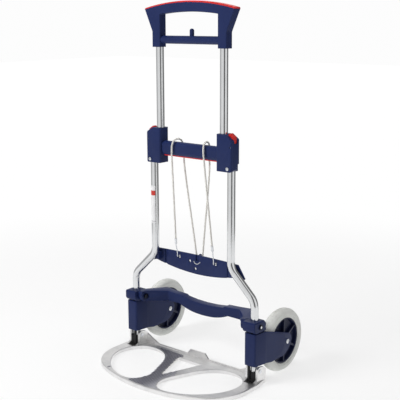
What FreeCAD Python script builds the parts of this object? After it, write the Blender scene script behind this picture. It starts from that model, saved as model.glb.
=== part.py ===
"""Folding hand truck with a telescopic handle, swing-in wheels and a folding toe plate.

Frame: +Z up, +X to the truck's right as seen from the toe plate, toe plate towards -Y.
The origin is on the floor, in the middle of the whole truck. Sizes are in millimetres.
"""
import FreeCAD
import Part
import Sketcher
import math
import os
from types import SimpleNamespace

V = FreeCAD.Vector
doc = FreeCAD.newDocument("HandTruck")
NODES = []

# ---------------------------------------------------------------- driving dimensions
DIMENSIONS = (
    ("overall_height", 1021, "floor to the top of the handle"),
    ("handle_height", 123, "socket mouth to the top of the handle"),
    ("handle_wall", 2, "handle moulding in front of and behind the upper tubes"),
    ("handle_flare", 28, "how far the top corners stand outside the posts"),
    ("handle_bar", 22, "thickness of the round bar between the sockets"),
    ("grip_strip_height", 4, "thickness of the strip along the handle's top"),
    ("bracket_level", 577, "floor to the underside of the mid brackets"),
    ("bracket_height", 99, "height of a mid bracket"),
    ("bracket_half_depth", 18.6, "half the depth of a mid bracket"),
    ("gauge_upper", 112, "centre plane to the axis of an upper tube"),
    ("tube_gap", 3.5, "upper tube to lower tube inside a mid bracket"),
    ("gauge_foot", 218, "centre plane to the axis of a lower tube at the wheels"),
    ("tube_radius", 11, "outside radius of every tube"),
    ("tube_wall", 1.5, "wall of every tube"),
    ("bend_radius", 45, "centre line radius of the tube bends"),
    ("bend_rise", 78, "height of the slanted stretch of a lower tube"),
    ("bend_clear", 51, "collar top to the lower bend"),
    ("wheel_radius", 90, "outside radius of a tyre"),
    ("wheel_width", 32, "width of a tyre"),
    ("wheel_gap", 24, "tube to tyre, front to back"),
    ("tyre_depth", 25, "radial depth of a tyre"),
    ("hub_radius", 15, "outside radius of the wheel hub"),
    ("axle_radius", 5, "radius of a wheel axle"),
    ("cheek_wall", 5, "wall of a fork cheek"),
    ("fork_rise", 58, "axle to the top of the fork"),
    ("fork_drop", 33, "axle down to the underside of the fork block"),
    ("collar_height", 31, "height of a collar"),
    ("collar_half_width", 20, "half the width of a collar"),
    ("collar_half_depth", 27, "half the depth of a collar"),
    ("bolt_radius", 4, "radius of the collar bolts and toe hinge pins"),
    ("spreader_reach", 72, "pivot to the back of the spreader bar"),
    ("spreader_depth", 24, "front to back of the spreader bar"),
    ("toe_reach", 225, "tube axis to the front of the toe plate"),
    ("toe_overhang", 28, "lower tube axis to the side of the toe plate"),
    ("toe_rear", 27, "tube axis to the rear edge of the toe plate"),
    ("toe_thickness", 12, "thickness of the toe plate"),
    ("toe_web", 6.5, "thickness of the toe plate round its openings"),
    ("toe_floor", 5, "plate left under each foot"),
    ("pin_height", 40, "floor to the toe hinge"),
    ("lug_wall", 6, "thickness of a toe hinge lug"),
    ("panel_thickness", 5, "thickness of the load panel"),
    ("panel_bow", 11, "how far the load panel bows backwards"),
    ("cord_diameter", 5, "thickness of the elastic cord"),
    ("bar_height", 40, "height of the carry bar"),
    ("bar_depth", 26, "front to back of the carry bar"),
    ("spreader_boss", 15, "length of a pivot boss of the spreader bar"),
    ("peg_radius", 4.5, "radius of the peg that holds the middle of the cord"),
    ("running_gap", 0.05, "radial clearance of a turning or sliding fit"),
    ("side_gap", 0.5, "clearance beside a turning piece"),
)


class Size:
    """A length with its value and the sheet formula that gives it."""

    def __init__(self, value, formula):
        self.value, self.formula = value, formula

    @staticmethod
    def of(other):
        return other if isinstance(other, Size) else Size(float(other), repr(float(other)))

    def join(self, sign, other, value):
        return Size(value, f"({self.formula} {sign} {Size.of(other).formula})")

    def __add__(self, other):
        return self.join("+", other, self.value + float(other))

    def __radd__(self, other):
        return Size.of(other) + self

    def __sub__(self, other):
        return self.join("-", other, self.value - float(other))

    def __rsub__(self, other):
        return Size.of(other) - self

    def __mul__(self, other):
        return self.join("*", other, self.value * float(other))

    __rmul__ = __mul__

    def __truediv__(self, other):
        return self.join("/", other, self.value / float(other))

    def __neg__(self):
        return self * -1

    def __float__(self):
        return float(self.value)


def fill_sheet():
    """Writes the driving dimensions into the sheet and returns them by name."""
    sheet = doc.addObject("Spreadsheet::Sheet", "Sizes")
    for line, (alias, value, note) in enumerate(DIMENSIONS, start=1):
        sheet.set(f"A{line}", alias)
        sheet.set(f"B{line}", str(value))
        sheet.set(f"C{line}", note)
        sheet.setAlias(f"B{line}", alias)
    doc.recompute()
    return SimpleNamespace(**{alias: Size(float(value), f"Sizes.{alias}") for alias, value, _ in DIMENSIONS})


d = fill_sheet()

# ---------------------------------------------------------------- places worked out from them
axle_reach = d.wheel_radius + d.wheel_gap + d.tube_radius
plane_y = (d.toe_reach - axle_reach - d.wheel_radius) / 2
axle_y = plane_y + axle_reach
gauge_lower = d.gauge_upper + d.tube_radius * 2 + d.tube_gap
toe_half_width = d.gauge_foot + d.toe_overhang
tube_bore = d.tube_radius - d.tube_wall
handle_depth = (d.tube_radius + d.handle_wall) * 2
handle_level = d.overall_height - d.handle_height
bracket_top = d.bracket_level + d.bracket_height
fork_top = d.wheel_radius + d.fork_rise
fork_bottom = d.wheel_radius - d.fork_drop
collar_bottom = fork_top + 2
collar_top = collar_bottom + d.collar_height
pivot_height = collar_bottom + d.collar_height / 2
bend_low = collar_top + d.bend_clear
bend_high = bend_low + d.bend_rise
panel_top = bend_high + 8
lower_tube_top = d.bracket_level + 53
lower_tube_end = d.pin_height - 26
upper_tube_end = d.bracket_level + 6
upper_tube_top = handle_level + 28
screw_level = handle_level + 16
bush_radius = d.tube_radius + 1
fork_bush_radius = d.tube_radius + 2
bar_middle = d.bracket_level + 43
bar_half_height = d.bar_height / 2
bracket_inner = d.gauge_upper - bush_radius - 1.5
bracket_outer = gauge_lower + d.tube_radius + 3.5
cheek_half = d.wheel_width / 2 + 2 + d.cheek_wall
collar_inner = d.gauge_foot - d.collar_half_width
collar_outer = d.gauge_foot + d.collar_half_width
lug_inner = d.gauge_foot - d.tube_radius - 3 - d.lug_wall
lug_outer = d.gauge_foot + d.tube_radius + 3 + d.lug_wall


# ---------------------------------------------------------------- drawing helpers
def bind(item, path, size):
    """Sets a property and ties it to the sheet where the size comes from there."""
    if isinstance(size, Size):
        item.setExpression(path, size.formula)
    else:
        item.setExpression(path, repr(float(size)))


TURN = {"X": (V(0, 1, 0), 90), "Y": (V(1, 0, 0), -90), "Z": (V(0, 0, 1), 0)}


def place(item, x, y, z, axis="Z"):
    """Puts an item's origin at a point, its own Z along the named axis."""
    item.Placement = FreeCAD.Placement(V(float(x), float(y), float(z)), FreeCAD.Rotation(*TURN[axis]))
    for letter, size in (("x", x), ("y", y), ("z", z)):
        bind(item, f"Placement.Base.{letter}", size)
    return item


def node(item, name):
    """Names a finished sub-part; its label is its file's name."""
    item.Label = name
    NODES.append(item)
    return item


def solid(name, shape):
    """A sub-part whose shape is worked out here from the sheet's sizes."""
    item = doc.addObject("Part::Feature", name)
    item.Shape = shape
    return node(item, name)


def mirrored(shape):
    return shape.mirror(V(0, 0, 0), V(1, 0, 0))


def pair(name, right_shape):
    """The same piece on the right and, mirrored, on the left."""
    solid("right_" + name, right_shape)
    solid("left_" + name, mirrored(right_shape))


def group(name, items):
    """Identical fasteners as separate solids of one sub-part."""
    compound = doc.addObject("Part::Compound", name)
    compound.Links = items
    return node(compound, name)


def new_sketch(body, role, name):
    """An empty sketch on one of the body's own origin planes."""
    sketch = body.newObject("Sketcher::SketchObject", name)
    plane = next(item for item in body.Origin.OriginFeatures if item.Role == role)
    sketch.AttachmentSupport = [(plane, "")]
    sketch.MapMode = "FlatFace"
    return sketch


def draw_circle(sketch, radius):
    """A circle about the sketch's origin with a bound radius."""
    index = sketch.addGeometry(Part.Circle(V(0, 0, 0), V(0, 0, 1), float(radius)))
    sketch.addConstraint(Sketcher.Constraint("Coincident", index, 3, -1, 1))
    rule = sketch.addConstraint(Sketcher.Constraint("Radius", index, float(radius)))
    bind(sketch, f"Constraints[{rule}]", radius)


def draw_outline(sketch, corners):
    """A closed outline of straight lines whose corners are bound to the sheet."""
    points = [V(float(a), float(b), 0) for a, b in corners]
    count = len(points)
    for index in range(count):
        sketch.addGeometry(Part.LineSegment(points[index], points[(index + 1) % count]))
    for index in range(count):
        sketch.addConstraint(Sketcher.Constraint("Coincident", index, 2, (index + 1) % count, 1))
    for index, (a, b) in enumerate(corners):
        for kind, size in (("DistanceX", a), ("DistanceY", b)):
            rule = sketch.addConstraint(Sketcher.Constraint(kind, -1, 1, index, 1, float(size)))
            bind(sketch, f"Constraints[{rule}]", size)


def padded(body, sketch, length, centred=False):
    """Pads a sketch by a bound length, to one side or to both."""
    pad = body.newObject("PartDesign::Pad", sketch.Name + "Pad")
    pad.Profile = sketch
    pad.SideType = "Symmetric" if centred else "One side"
    bind(pad, "Length", length)
    return pad


def ring(name, outer, inner, length):
    """A tube, bush or sleeve that stands on its own origin."""
    body = doc.addObject("PartDesign::Body", name)
    sketch = new_sketch(body, "XY_Plane", name + "Sketch")
    draw_circle(sketch, outer)
    draw_circle(sketch, inner)
    padded(body, sketch, length)
    return body


def turned(name, profile):
    """A body turned about its own Z from (radius, height) corners."""
    body = doc.addObject("PartDesign::Body", name)
    sketch = new_sketch(body, "XZ_Plane", name + "Sketch")
    draw_outline(sketch, profile)
    turning = body.newObject("PartDesign::Revolution", name + "Turning")
    turning.Profile = sketch
    turning.ReferenceAxis = (sketch, ["V_Axis"])
    turning.Angle = 360
    return body


def bolt(name, shank_radius, shank_length, head_radius, head_height, nut_radius=0, nut_height=0):
    """A headed bolt along its own Z, its head below the origin and its nut beyond the shank."""
    profile = [(0, -head_height), (head_radius, -head_height), (head_radius, 0), (shank_radius, 0)]
    if nut_radius:
        top = shank_length + nut_height
        profile += [(shank_radius, shank_length), (nut_radius, shank_length), (nut_radius, top), (0, top)]
    else:
        profile += [(shank_radius, shank_length), (0, shank_length)]
    return turned(name, profile)


def softened(body, base, radius, wanted):
    """A PartDesign fillet on the edges that the test picks."""
    doc.recompute()
    names = [f"Edge{i}" for i, edge in enumerate(base.Shape.Edges, start=1) if wanted(edge)]
    fillet = body.newObject("PartDesign::Fillet", base.Name + "Soft")
    fillet.Base = (base, names)
    bind(fillet, "Radius", radius)
    return fillet


AXES = {"X": V(1, 0, 0), "Y": V(0, 1, 0), "Z": V(0, 0, 1)}


def runs_along(edge, axis):
    """True for a straight edge that lies along the named axis."""
    if edge.Curve.TypeId != "Part::GeomLine":
        return False
    return abs(abs(edge.tangentAt(edge.FirstParameter).dot(AXES[axis])) - 1) < 1e-6


def filleted(shape, radius, wanted):
    """Rounds the edges of a worked-out shape that the test picks."""
    return shape.makeFillet(float(radius), [edge for edge in shape.Edges if wanted(edge)])


def at(axis, a, b, level):
    """A point of an outline that is drawn across the named axis."""
    if axis == "X":
        return V(level, float(a), float(b))
    if axis == "Y":
        return V(float(a), level, float(b))
    return V(float(a), float(b), level)


def prism(axis, low, high, start, *steps):
    """A prism along an axis; a step is a corner, or (point on arc, corner) for an arc."""
    low, high = float(low), float(high)
    here = at(axis, *start, low)
    edges = []
    for step in steps + (start,):
        if isinstance(step[0], tuple):
            there = at(axis, *step[1], low)
            edges.append(Part.Arc(here, at(axis, *step[0], low), there).toShape())
        else:
            there = at(axis, *step, low)
            if here.distanceToPoint(there) < 1e-6:
                continue
            edges.append(Part.LineSegment(here, there).toShape())
        here = there
    return Part.Face(Part.Wire(edges)).extrude(AXES[axis] * (high - low))


def block(x0, x1, y0, y1, z0, z1):
    """A box between two corners."""
    x0, x1, y0, y1, z0, z1 = (float(v) for v in (x0, x1, y0, y1, z0, z1))
    return Part.makeBox(x1 - x0, y1 - y0, z1 - z0, V(x0, y0, z0))


def rod_shape(axis, radius, start, end, a, b):
    """A cylinder along an axis from start to end; a and b are its other two coordinates."""
    return Part.makeCylinder(float(radius), float(end) - float(start), at(axis, a, b, float(start)), AXES[axis])


def bend_radius_at(before, point, after):
    """The largest gentle radius that a corner's two runs allow, and the half turn there."""
    half_turn = (point - before).getAngle(after - point) / 2
    shorter = min(before.distanceToPoint(point), point.distanceToPoint(after))
    return 0.45 * shorter / math.tan(half_turn), half_turn


def rounded_path(points, radius=None):
    """Straight runs joined by tangent arcs, of a set radius or as large as the runs allow."""
    edges, here, radii = [], points[0], []
    for before, point, after in zip(points, points[1:], points[2:]):
        gentle, half_turn = bend_radius_at(before, point, after)
        bend = float(radius) if radius else gentle
        back, onward = (before - point).normalize(), (after - point).normalize()
        cut = bend * math.tan(half_turn)
        start, end = point + back * cut, point + onward * cut
        inward = (back + onward).normalize()
        middle = point + inward * (bend / math.cos(half_turn) - bend)
        edges.append(Part.LineSegment(here, start).toShape())
        edges.append(Part.Arc(start, middle, end).toShape())
        here = end
        radii.append(bend)
    edges.append(Part.LineSegment(here, points[-1]).toShape())
    return Part.Wire(edges), radii


def rod_along(path, radius):
    """A round rod that follows a path of runs and arcs."""
    first = path.OrderedEdges[0]
    start = first.valueAt(first.FirstParameter)
    ring_edge = Part.makeCircle(float(radius), start, first.tangentAt(first.FirstParameter))
    return path.makePipeShell([Part.Wire([ring_edge])], True, True)


# ---------------------------------------------------------------- tubes
def lower_tube_path():
    """Centre line of the right lower tube, from its top end down to the foot."""
    y = float(plane_y)
    corners = ((gauge_lower, lower_tube_top), (gauge_lower, bend_high),
               (d.gauge_foot, bend_low), (d.gauge_foot, lower_tube_end))
    return rounded_path([V(float(x), y, float(z)) for x, z in corners], d.bend_radius)[0]


LOWER_ROD = rod_along(lower_tube_path(), d.tube_radius)


def make_lower_tubes():
    """Bent tubes, drilled for the toe hinge pin, the collar bolt and the bracket screw."""
    tube = LOWER_ROD.cut(rod_along(lower_tube_path(), tube_bore))
    tube = tube.cut(rod_shape("X", d.bolt_radius, lug_inner, lug_outer, plane_y, d.pin_height))
    tube = tube.cut(rod_shape("X", d.bolt_radius, collar_inner, collar_outer, plane_y, pivot_height))
    tube = tube.cut(rod_shape("Y", 3, plane_y - d.bracket_half_depth, plane_y, gauge_lower, screw_height))
    pair("lower_tube", tube)


def make_upper_tubes():
    for side, sign in (("right", 1), ("left", -1)):
        tube = ring(side + "_upper_tube", d.tube_radius, tube_bore, upper_tube_top - upper_tube_end)
        node(place(tube, d.gauge_upper * sign, plane_y, upper_tube_end), side + "_upper_tube")
        plug = turned(side + "_tube_plug", [
            (0, -3), (d.tube_radius, -3), (d.tube_radius, 0), (tube_bore, 0), (tube_bore, 20), (0, 20)])
        node(place(plug, d.gauge_upper * sign, plane_y, upper_tube_end), side + "_tube_plug")


# ---------------------------------------------------------------- mid brackets, carry bar, levers
screw_height = d.bracket_level + 9
lever_x = gauge_lower + 8.5
lever_z = d.bracket_level + 66
lever_half = 6.5
lever_pin_radius = 2.0
pin_sunk = 2.5
spring_radius = 4.0
spring_x = lever_x - 14.5
spring_low = lower_tube_top + 1


def make_mid_brackets():
    """Mouldings that clamp the lower tubes and guide the upper tubes."""
    front, back = plane_y - d.bracket_half_depth, plane_y + d.bracket_half_depth
    shoulder = gauge_lower - 8
    shape = prism("Y", front, back, (bracket_inner, d.bracket_level + 2), (bracket_inner + 2, d.bracket_level),
                  (bracket_outer - 6, d.bracket_level), (bracket_outer, d.bracket_level + 6),
                  (bracket_outer, bracket_top - 16), (shoulder, bracket_top), (bracket_inner, bracket_top))
    shape = filleted(shape, 7, lambda edge: runs_along(edge, "Z") and edge.Length > 50)
    shape = shape.cut(rod_shape("Z", bush_radius, d.bracket_level - 1, bracket_top + 1, d.gauge_upper, plane_y))
    shape = shape.cut(rod_shape("Z", d.tube_radius, d.bracket_level - 1, lower_tube_top, gauge_lower, plane_y))
    slot = lever_half + d.side_gap
    shape = shape.cut(block(lever_x - 19, bracket_outer - 2, plane_y - slot, plane_y + slot,
                            lower_tube_top + 1, bracket_top + 1))
    shape = shape.cut(block(lever_x, bracket_outer + 1, plane_y - slot, plane_y + slot,
                            lever_z + 9, bracket_top + 1))
    shape = shape.cut(rod_shape("Y", lever_pin_radius, front - 1, back + 1, lever_x, lever_z))
    shape = shape.cut(rod_shape("Y", 3, front - 1, plane_y, gauge_lower, screw_height))
    notch = block(bracket_outer - 7, bracket_outer + 1, plane_y + 6, back + 1,
                  d.bracket_level - 1, d.bracket_level + 20)
    pair("mid_bracket", shape.cut(notch))


def make_bracket_fittings():
    """Guide bushes in the brackets, the lever pins and the screws into the lower tubes."""
    pins, screws = [], []
    for side, sign in (("right", 1), ("left", -1)):
        bush = ring(side + "_guide_bush", bush_radius, d.tube_radius + d.running_gap, d.bracket_height)
        node(place(bush, d.gauge_upper * sign, plane_y, d.bracket_level), side + "_guide_bush")
        long = (d.bracket_half_depth - pin_sunk) * 2
        pin = turned(side + "LeverPin", [(0, 0), (lever_pin_radius, 0), (lever_pin_radius, long), (0, long)])
        pins.append(place(pin, lever_x * sign, plane_y - d.bracket_half_depth + pin_sunk, lever_z, "Y"))
        screw = bolt(side + "BracketScrew", 3, d.bracket_half_depth - 4, 5, 2)
        screws.append(place(screw, gauge_lower * sign, plane_y - d.bracket_half_depth, screw_height, "Y"))
    group("lever_pins", pins)
    group("bracket_screws", screws)


def make_levers():
    """Rocking release levers, each with a coil spring under its inner arm."""
    low, high = plane_y - lever_half, plane_y + lever_half
    outline = ((lever_x - 18, lever_z + 2), (lever_x - 18, lever_z + 7), (lever_x - 14, lever_z + 9),
               (lever_x - 14, lever_z + 33), (lever_x - 10, lever_z + 36), (lever_x + 3.5, lever_z + 27),
               (lever_x + 3.5, lever_z + 12), (lever_x + 3, lever_z - 4), (lever_x - 3, lever_z - 4),
               (lever_x - 6, lever_z + 2))
    lever = prism("Y", low, high, *outline)
    lever = filleted(lever, 1.2, lambda edge: runs_along(edge, "Y") and edge.CenterOfMass.z > float(lever_z) + 25)
    bore = rod_shape("Y", lever_pin_radius + float(d.running_gap), low - 1, high + 1, lever_x, lever_z)
    pair("release_lever", lever.cut(bore))
    for side, sign in (("right", 1), ("left", -1)):
        spring = ring(side + "_lever_spring", spring_radius - 1, spring_radius - 2, lever_z + 2 - spring_low)
        node(place(spring, spring_x * sign, plane_y, spring_low), side + "_lever_spring")


def make_carry_bar():
    """Oval bar between the brackets with a strip let into its underside."""
    strip_half = bracket_inner - 2
    body = doc.addObject("PartDesign::Body", "carry_bar")
    sketch = new_sketch(body, "YZ_Plane", "BarSketch")
    half = d.bar_depth / 2
    draw_outline(sketch, [(-half, -bar_half_height), (half, -bar_half_height),
                          (half, bar_half_height), (-half, bar_half_height)])
    bar = padded(body, sketch, bracket_inner * 2, centred=True)
    round_bar = softened(body, bar, half - 0.5, lambda edge: runs_along(edge, "X"))
    groove = new_sketch(body, "YZ_Plane", "GrooveSketch")
    deep, wide = bar_half_height - 4, 6
    draw_outline(groove, [(-wide, -bar_half_height - 1), (wide, -bar_half_height - 1), (wide, -deep), (-wide, -deep)])
    doc.recompute()
    before = round_bar.Shape.Volume
    pocket = body.newObject("PartDesign::Pocket", "StripGroove")
    pocket.Profile = groove
    pocket.SideType = "Symmetric"
    bind(pocket, "Length", strip_half * 2)
    doc.recompute()
    if pocket.Shape.Volume > before - 100:
        raise ValueError("the strip groove cuts nothing")
    node(place(body, 0, plane_y + 1, bar_middle), "carry_bar")
    strip = block(-strip_half, strip_half, plane_y + 1 - wide, plane_y + 1 + wide, bar_middle - bar_half_height - 1.5,
                  bar_middle - deep)
    strip = filleted(strip, 1, lambda edge: edge.CenterOfMass.z < float(bar_middle - bar_half_height) - 1.4)
    solid("carry_bar_insert", strip)


# ---------------------------------------------------------------- handle
def make_handle():
    """Loop handle with two sockets, the strip along its top and the two socket screws."""
    low, high = plane_y - handle_depth / 2, plane_y + handle_depth / 2
    inner, outer = d.gauge_upper - 12.25, d.gauge_upper + 17
    corner, top = outer + d.handle_flare, d.overall_height
    arch, waist = 19, handle_level + 42
    bar_radius, bar_level = d.handle_bar / 2, handle_level + 20
    window_top = top - 35
    shape = prism("Y", low, high, (-outer, handle_level), (outer, handle_level), (outer, waist),
                  (corner, top - arch), ((0, top), (-corner, top - arch)), (-outer, waist))
    shape = filleted(shape, 9, lambda edge: runs_along(edge, "Y") and abs(edge.CenterOfMass.z - float(waist)) < 1)
    shape = filleted(shape, 3.5, lambda edge: runs_along(edge, "Y") and edge.CenterOfMass.z > float(waist) + 20)
    window = prism("Y", low - 1, high + 1, (-inner, handle_level - 1), (inner, handle_level - 1), (inner, window_top),
                   ((0, window_top + 6), (-inner, window_top)))
    window = filleted(window, 2, lambda edge: runs_along(edge, "Y") and edge.CenterOfMass.z > float(waist))
    shape = filleted(shape.cut(window), 3, lambda edge: on_face(edge, low, high) and edge.CenterOfMass.z
                     > float(handle_level) + 30)
    shape = shape.fuse(rod_shape("X", bar_radius, -inner - 4, inner + 4, plane_y, bar_level))
    above = top - arch - d.grip_strip_height
    layer = prism("Y", low - 1, high + 1, (-corner - 1, above), ((0, top - d.grip_strip_height), (corner + 1, above)),
                  (corner + 1, top + 9), (-corner - 1, top + 9))
    strip = shape.common(layer)
    shape = shape.cut(layer)
    for sign in (1, -1):
        x = d.gauge_upper * sign
        shape = shape.cut(rod_shape("Z", d.tube_radius, handle_level - 1, upper_tube_top, x, plane_y))
        shape = shape.cut(rod_shape("Y", 2.5, plane_y, high + 1, x, screw_level))
    peg_radius, peg_low = 6.2, bar_level + bar_radius - 3
    peg = Part.makeCylinder(peg_radius, float(d.handle_bar), V(0, float(plane_y) + 4, float(peg_low)))
    peg = filleted(peg, peg_radius - 0.6, lambda edge: edge.CenterOfMass.z > float(peg_low) + 5 and edge.Closed
                   and edge.Length > 20)
    solid("handle_frame", shape.fuse(peg).removeSplitter())
    solid("grip_strip", strip.removeSplitter())
    screws = []
    for side, sign in (("right", 1), ("left", -1)):
        long, head_radius, head_height = handle_depth / 2 - d.tube_radius, 4, 1.5
        screw = turned(side + "HandleScrew", [
            (0, 0), (2.5, 0), (2.5, long), (head_radius, long), (head_radius, long + head_height),
            (0, long + head_height)])
        screws.append(place(screw, d.gauge_upper * sign, high - long, screw_level, "Y"))
    group("handle_screws", screws)


def on_face(edge, low, high):
    """True for an edge that lies in the front or the back face of a moulding."""
    box = edge.BoundBox
    flat = box.YMax - box.YMin < 1e-6
    return flat and min(abs(box.YMin - float(low)), abs(box.YMin - float(high))) < 1e-6


# ---------------------------------------------------------------- load panel
def bowed_sheet(front, thickness, half_width, low, high):
    """A sheet between two heights that bows backwards at its middle."""
    bow = d.panel_bow
    return prism("Z", low, high, (-half_width, front), ((0, front + bow), (half_width, front)),
                 (half_width, front + thickness), ((0, front + bow + thickness), (-half_width, front + thickness)))


def make_load_panel():
    """Bowed panel behind the lower tubes, with slots for the cord hooks."""
    half = gauge_lower + 38
    front = plane_y + d.tube_radius + 1
    sheet = bowed_sheet(front, d.panel_thickness, half, bend_high - 50, panel_top)
    outline = prism("Y", 0, 90, (-gauge_lower - 11, panel_top), (gauge_lower + 11, panel_top),
                    (gauge_lower + 37, panel_top - 35), (gauge_lower + 29, panel_top - 41),
                    (gauge_lower + 10, panel_top - 35),
                    ((0, panel_top - 56), (-gauge_lower - 10, panel_top - 35)),
                    (-gauge_lower - 29, panel_top - 41), (-gauge_lower - 37, panel_top - 35))
    panel = sheet.common(outline)
    for sign in (1, -1):
        x = gauge_lower * sign
        saddle = block(x - 9, x + 9, plane_y + 3, front + 6, panel_top - 30, panel_top - 8)
        panel = panel.fuse(saddle)
        panel = panel.cut(LOWER_ROD if sign > 0 else mirrored(LOWER_ROD))
        hook_x = 66 * sign
        panel = panel.cut(block(hook_x - 4, hook_x + 4, 0, 90, panel_top - 19, panel_top - 10))
        groove_x = (gauge_lower - 24) * sign
        bowed = d.panel_bow * (1 - (float(groove_x) / float(half)) ** 2)
        panel = panel.cut(block(groove_x - 4, groove_x + 4, 0, front + bowed + d.panel_thickness / 2,
                                0, panel_top + 1))
    middle = front + d.panel_bow + d.panel_thickness
    panel_skin = d.panel_thickness / 4
    panel = panel.cut(block(-6, 6, 0, middle - panel_skin, panel_top - 17, panel_top + 1))
    panel = panel.fuse(rod_shape("Y", d.peg_radius, middle - panel_skin, middle + 10, 0, panel_top - 6))
    panel = panel.fuse(rod_shape("Y", d.peg_radius + 2.5, middle + 9, middle + 11, 0, panel_top - 6))
    for x, drop in ((-28, 21), (-8, 41)):
        panel = panel.cut(rod_shape("Y", 4.2, 0, 90, x, panel_top - drop))
    seat = plane_y + d.tube_radius
    back = front + d.panel_bow + d.panel_thickness - 2
    rivets = []
    for side, sign in (("right", 1), ("left", -1)):
        x, z = gauge_lower * sign, panel_top - 19
        panel = panel.fuse(rod_shape("Y", 7, front + 3, back, x, z))
        panel = panel.cut(rod_shape("Y", 2.5, seat - 3, back + 1, x, z))
        long = back - seat
        rivet = turned(side + "Rivet", [(0, 0), (2.5, 0), (2.5, long), (5, long), (4.5, long + 1.4),
                                        (3, long + 2.2), (0, long + 2.4)])
        rivets.append(place(rivet, x, seat, z, "Y"))
    solid("load_panel", panel.removeSplitter())
    group("panel_rivets", rivets)


# ---------------------------------------------------------------- collars and spreader bar
def make_collars():
    """Blocks clamped round the lower tubes just above the forks."""
    front, back = plane_y - d.collar_half_depth, plane_y + d.collar_half_depth
    shape = prism("X", collar_inner, collar_outer, (front, collar_bottom + 12), (front, collar_top - 3),
                  (front + 3, collar_top), (back - 9, collar_top), (back, collar_top - 9), (back, collar_bottom),
                  (front + 14, collar_bottom), ((front + 4, collar_bottom + 4), (front, collar_bottom + 12)))
    shape = filleted(shape, 3, lambda edge: abs(edge.CenterOfMass.x - float(collar_outer)) < 1e-6)
    shape = shape.cut(LOWER_ROD)
    shape = shape.cut(rod_shape("X", d.bolt_radius, collar_inner - 1, collar_outer + 1, plane_y, pivot_height))
    pair("collar", shape)
    bolts = []
    for side, sign in (("right", 1), ("left", -1)):
        length = d.collar_half_width * 2 + d.spreader_boss + d.side_gap * 2
        item = bolt(side + "CollarBolt", d.bolt_radius, length, 7, 3, 6.5, 4)
        place(item, collar_outer * sign, plane_y, pivot_height, "X")
        if sign > 0:
            item.Placement.Rotation = FreeCAD.Rotation(V(0, 1, 0), -90)
        bolts.append(item)
    group("collar_bolts", bolts)


def make_spreader_bar():
    """Arched bar that pivots on the collar bolts and stands up over the folded wheels."""
    reach, depth = plane_y + d.spreader_reach, d.spreader_depth
    end = collar_inner - d.side_gap
    boss_inner = end - d.spreader_boss
    top, bottom = collar_top, collar_bottom
    plan = prism("Z", bottom - 30, top + 10, (-boss_inner, plane_y), (-end, plane_y), (-end, plane_y + 18),
                 (-end + 38, reach), (end - 38, reach), (end, plane_y + 18), (end, plane_y),
                 (boss_inner, plane_y), (boss_inner - 50, reach - depth), (-boss_inner + 50, reach - depth))
    plan = filleted(plan, 9, lambda edge: runs_along(edge, "Z") and edge.CenterOfMass.y > float(reach - depth) - 1)
    front = prism("Y", plane_y - 1, reach + 1, (-end, bottom), (-90, bottom),
                  ((-66, bottom - 9), (-40, bottom - 15)), ((0, bottom - 17.5), (40, bottom - 15)),
                  ((66, bottom - 9), (90, bottom)), (end, bottom), (end, top), (157, top), (110, top - 3.5),
                  (78, top - 5), (72, top - 9), (38, top - 13), (0, top - 14.5), (-38, top - 13),
                  (-72, top - 9), (-78, top - 5), (-110, top - 3.5), (-157, top), (-end, top))
    bar = plan.common(front)
    round_half = d.collar_height / 2
    for sign in (1, -1):
        low, high = sorted((float(boss_inner) * sign, float(end) * sign))
        boss = prism("X", low, high, (plane_y - round_half, bottom), (plane_y + 20, bottom), (plane_y + 20, top),
                     (plane_y - round_half, top))
        for radius, level in ((6, top), (round_half - 1, bottom)):
            boss = filleted(boss, radius, lambda edge: runs_along(edge, "X") and edge.CenterOfMass.y < float(plane_y)
                            and abs(edge.CenterOfMass.z - float(level)) < 1e-6)
        bar = bar.fuse(boss)
        bar = bar.cut(rod_shape("X", d.bolt_radius + d.running_gap, low - 1, high + 1, plane_y, pivot_height))
        low, high = sorted((float(boss_inner - 16) * sign, float(boss_inner) * sign))
        bar = bar.cut(rod_shape("X", 9, low, high, plane_y, pivot_height))
    solid("spreader_bar", bar.removeSplitter())


# ---------------------------------------------------------------- forks and wheels
def make_forks():
    """Forks that turn on the lower tubes and hold the wheels between two cheeks."""
    x, y, z = d.gauge_foot, plane_y, d.wheel_radius
    front = y - 21.6
    side = prism("X", x - cheek_half - 1, x + cheek_half + 1, (front, fork_bottom), (y + 24, fork_bottom), (y + 48, z - 38),
                 (axle_y - 33, z - 37), ((axle_y + 6, z - 24), (axle_y + 21, z)),
                 ((axle_y + 18, z + 14), (axle_y + 6, z + 23)), (y + 22, fork_top), (front, fork_top))
    plan = prism("Z", 0, fork_top + 1, (x - 18, front), (x + 18, front), (x + cheek_half, y + 20),
                 (x + cheek_half, axle_y + 30), (x - cheek_half, axle_y + 30), (x - cheek_half, y + 20))
    plan = filleted(plan, 6, lambda edge: runs_along(edge, "Z") and edge.CenterOfMass.y < float(y) + 25)
    fork = side.common(plan)
    half = d.wheel_width / 2 + 2
    fork = fork.cut(block(x - half, x + half, y + d.tube_radius + d.wheel_gap - 4, axle_y + 40, 0, fork_top + 1))
    fork = fork.cut(rod_shape("Z", fork_bush_radius, 0, fork_top + 1, x, y))
    fork = fork.cut(rod_shape("X", d.axle_radius, x - cheek_half - 1, x + cheek_half + 1, axle_y, z))
    pair("fork", fork)


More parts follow.
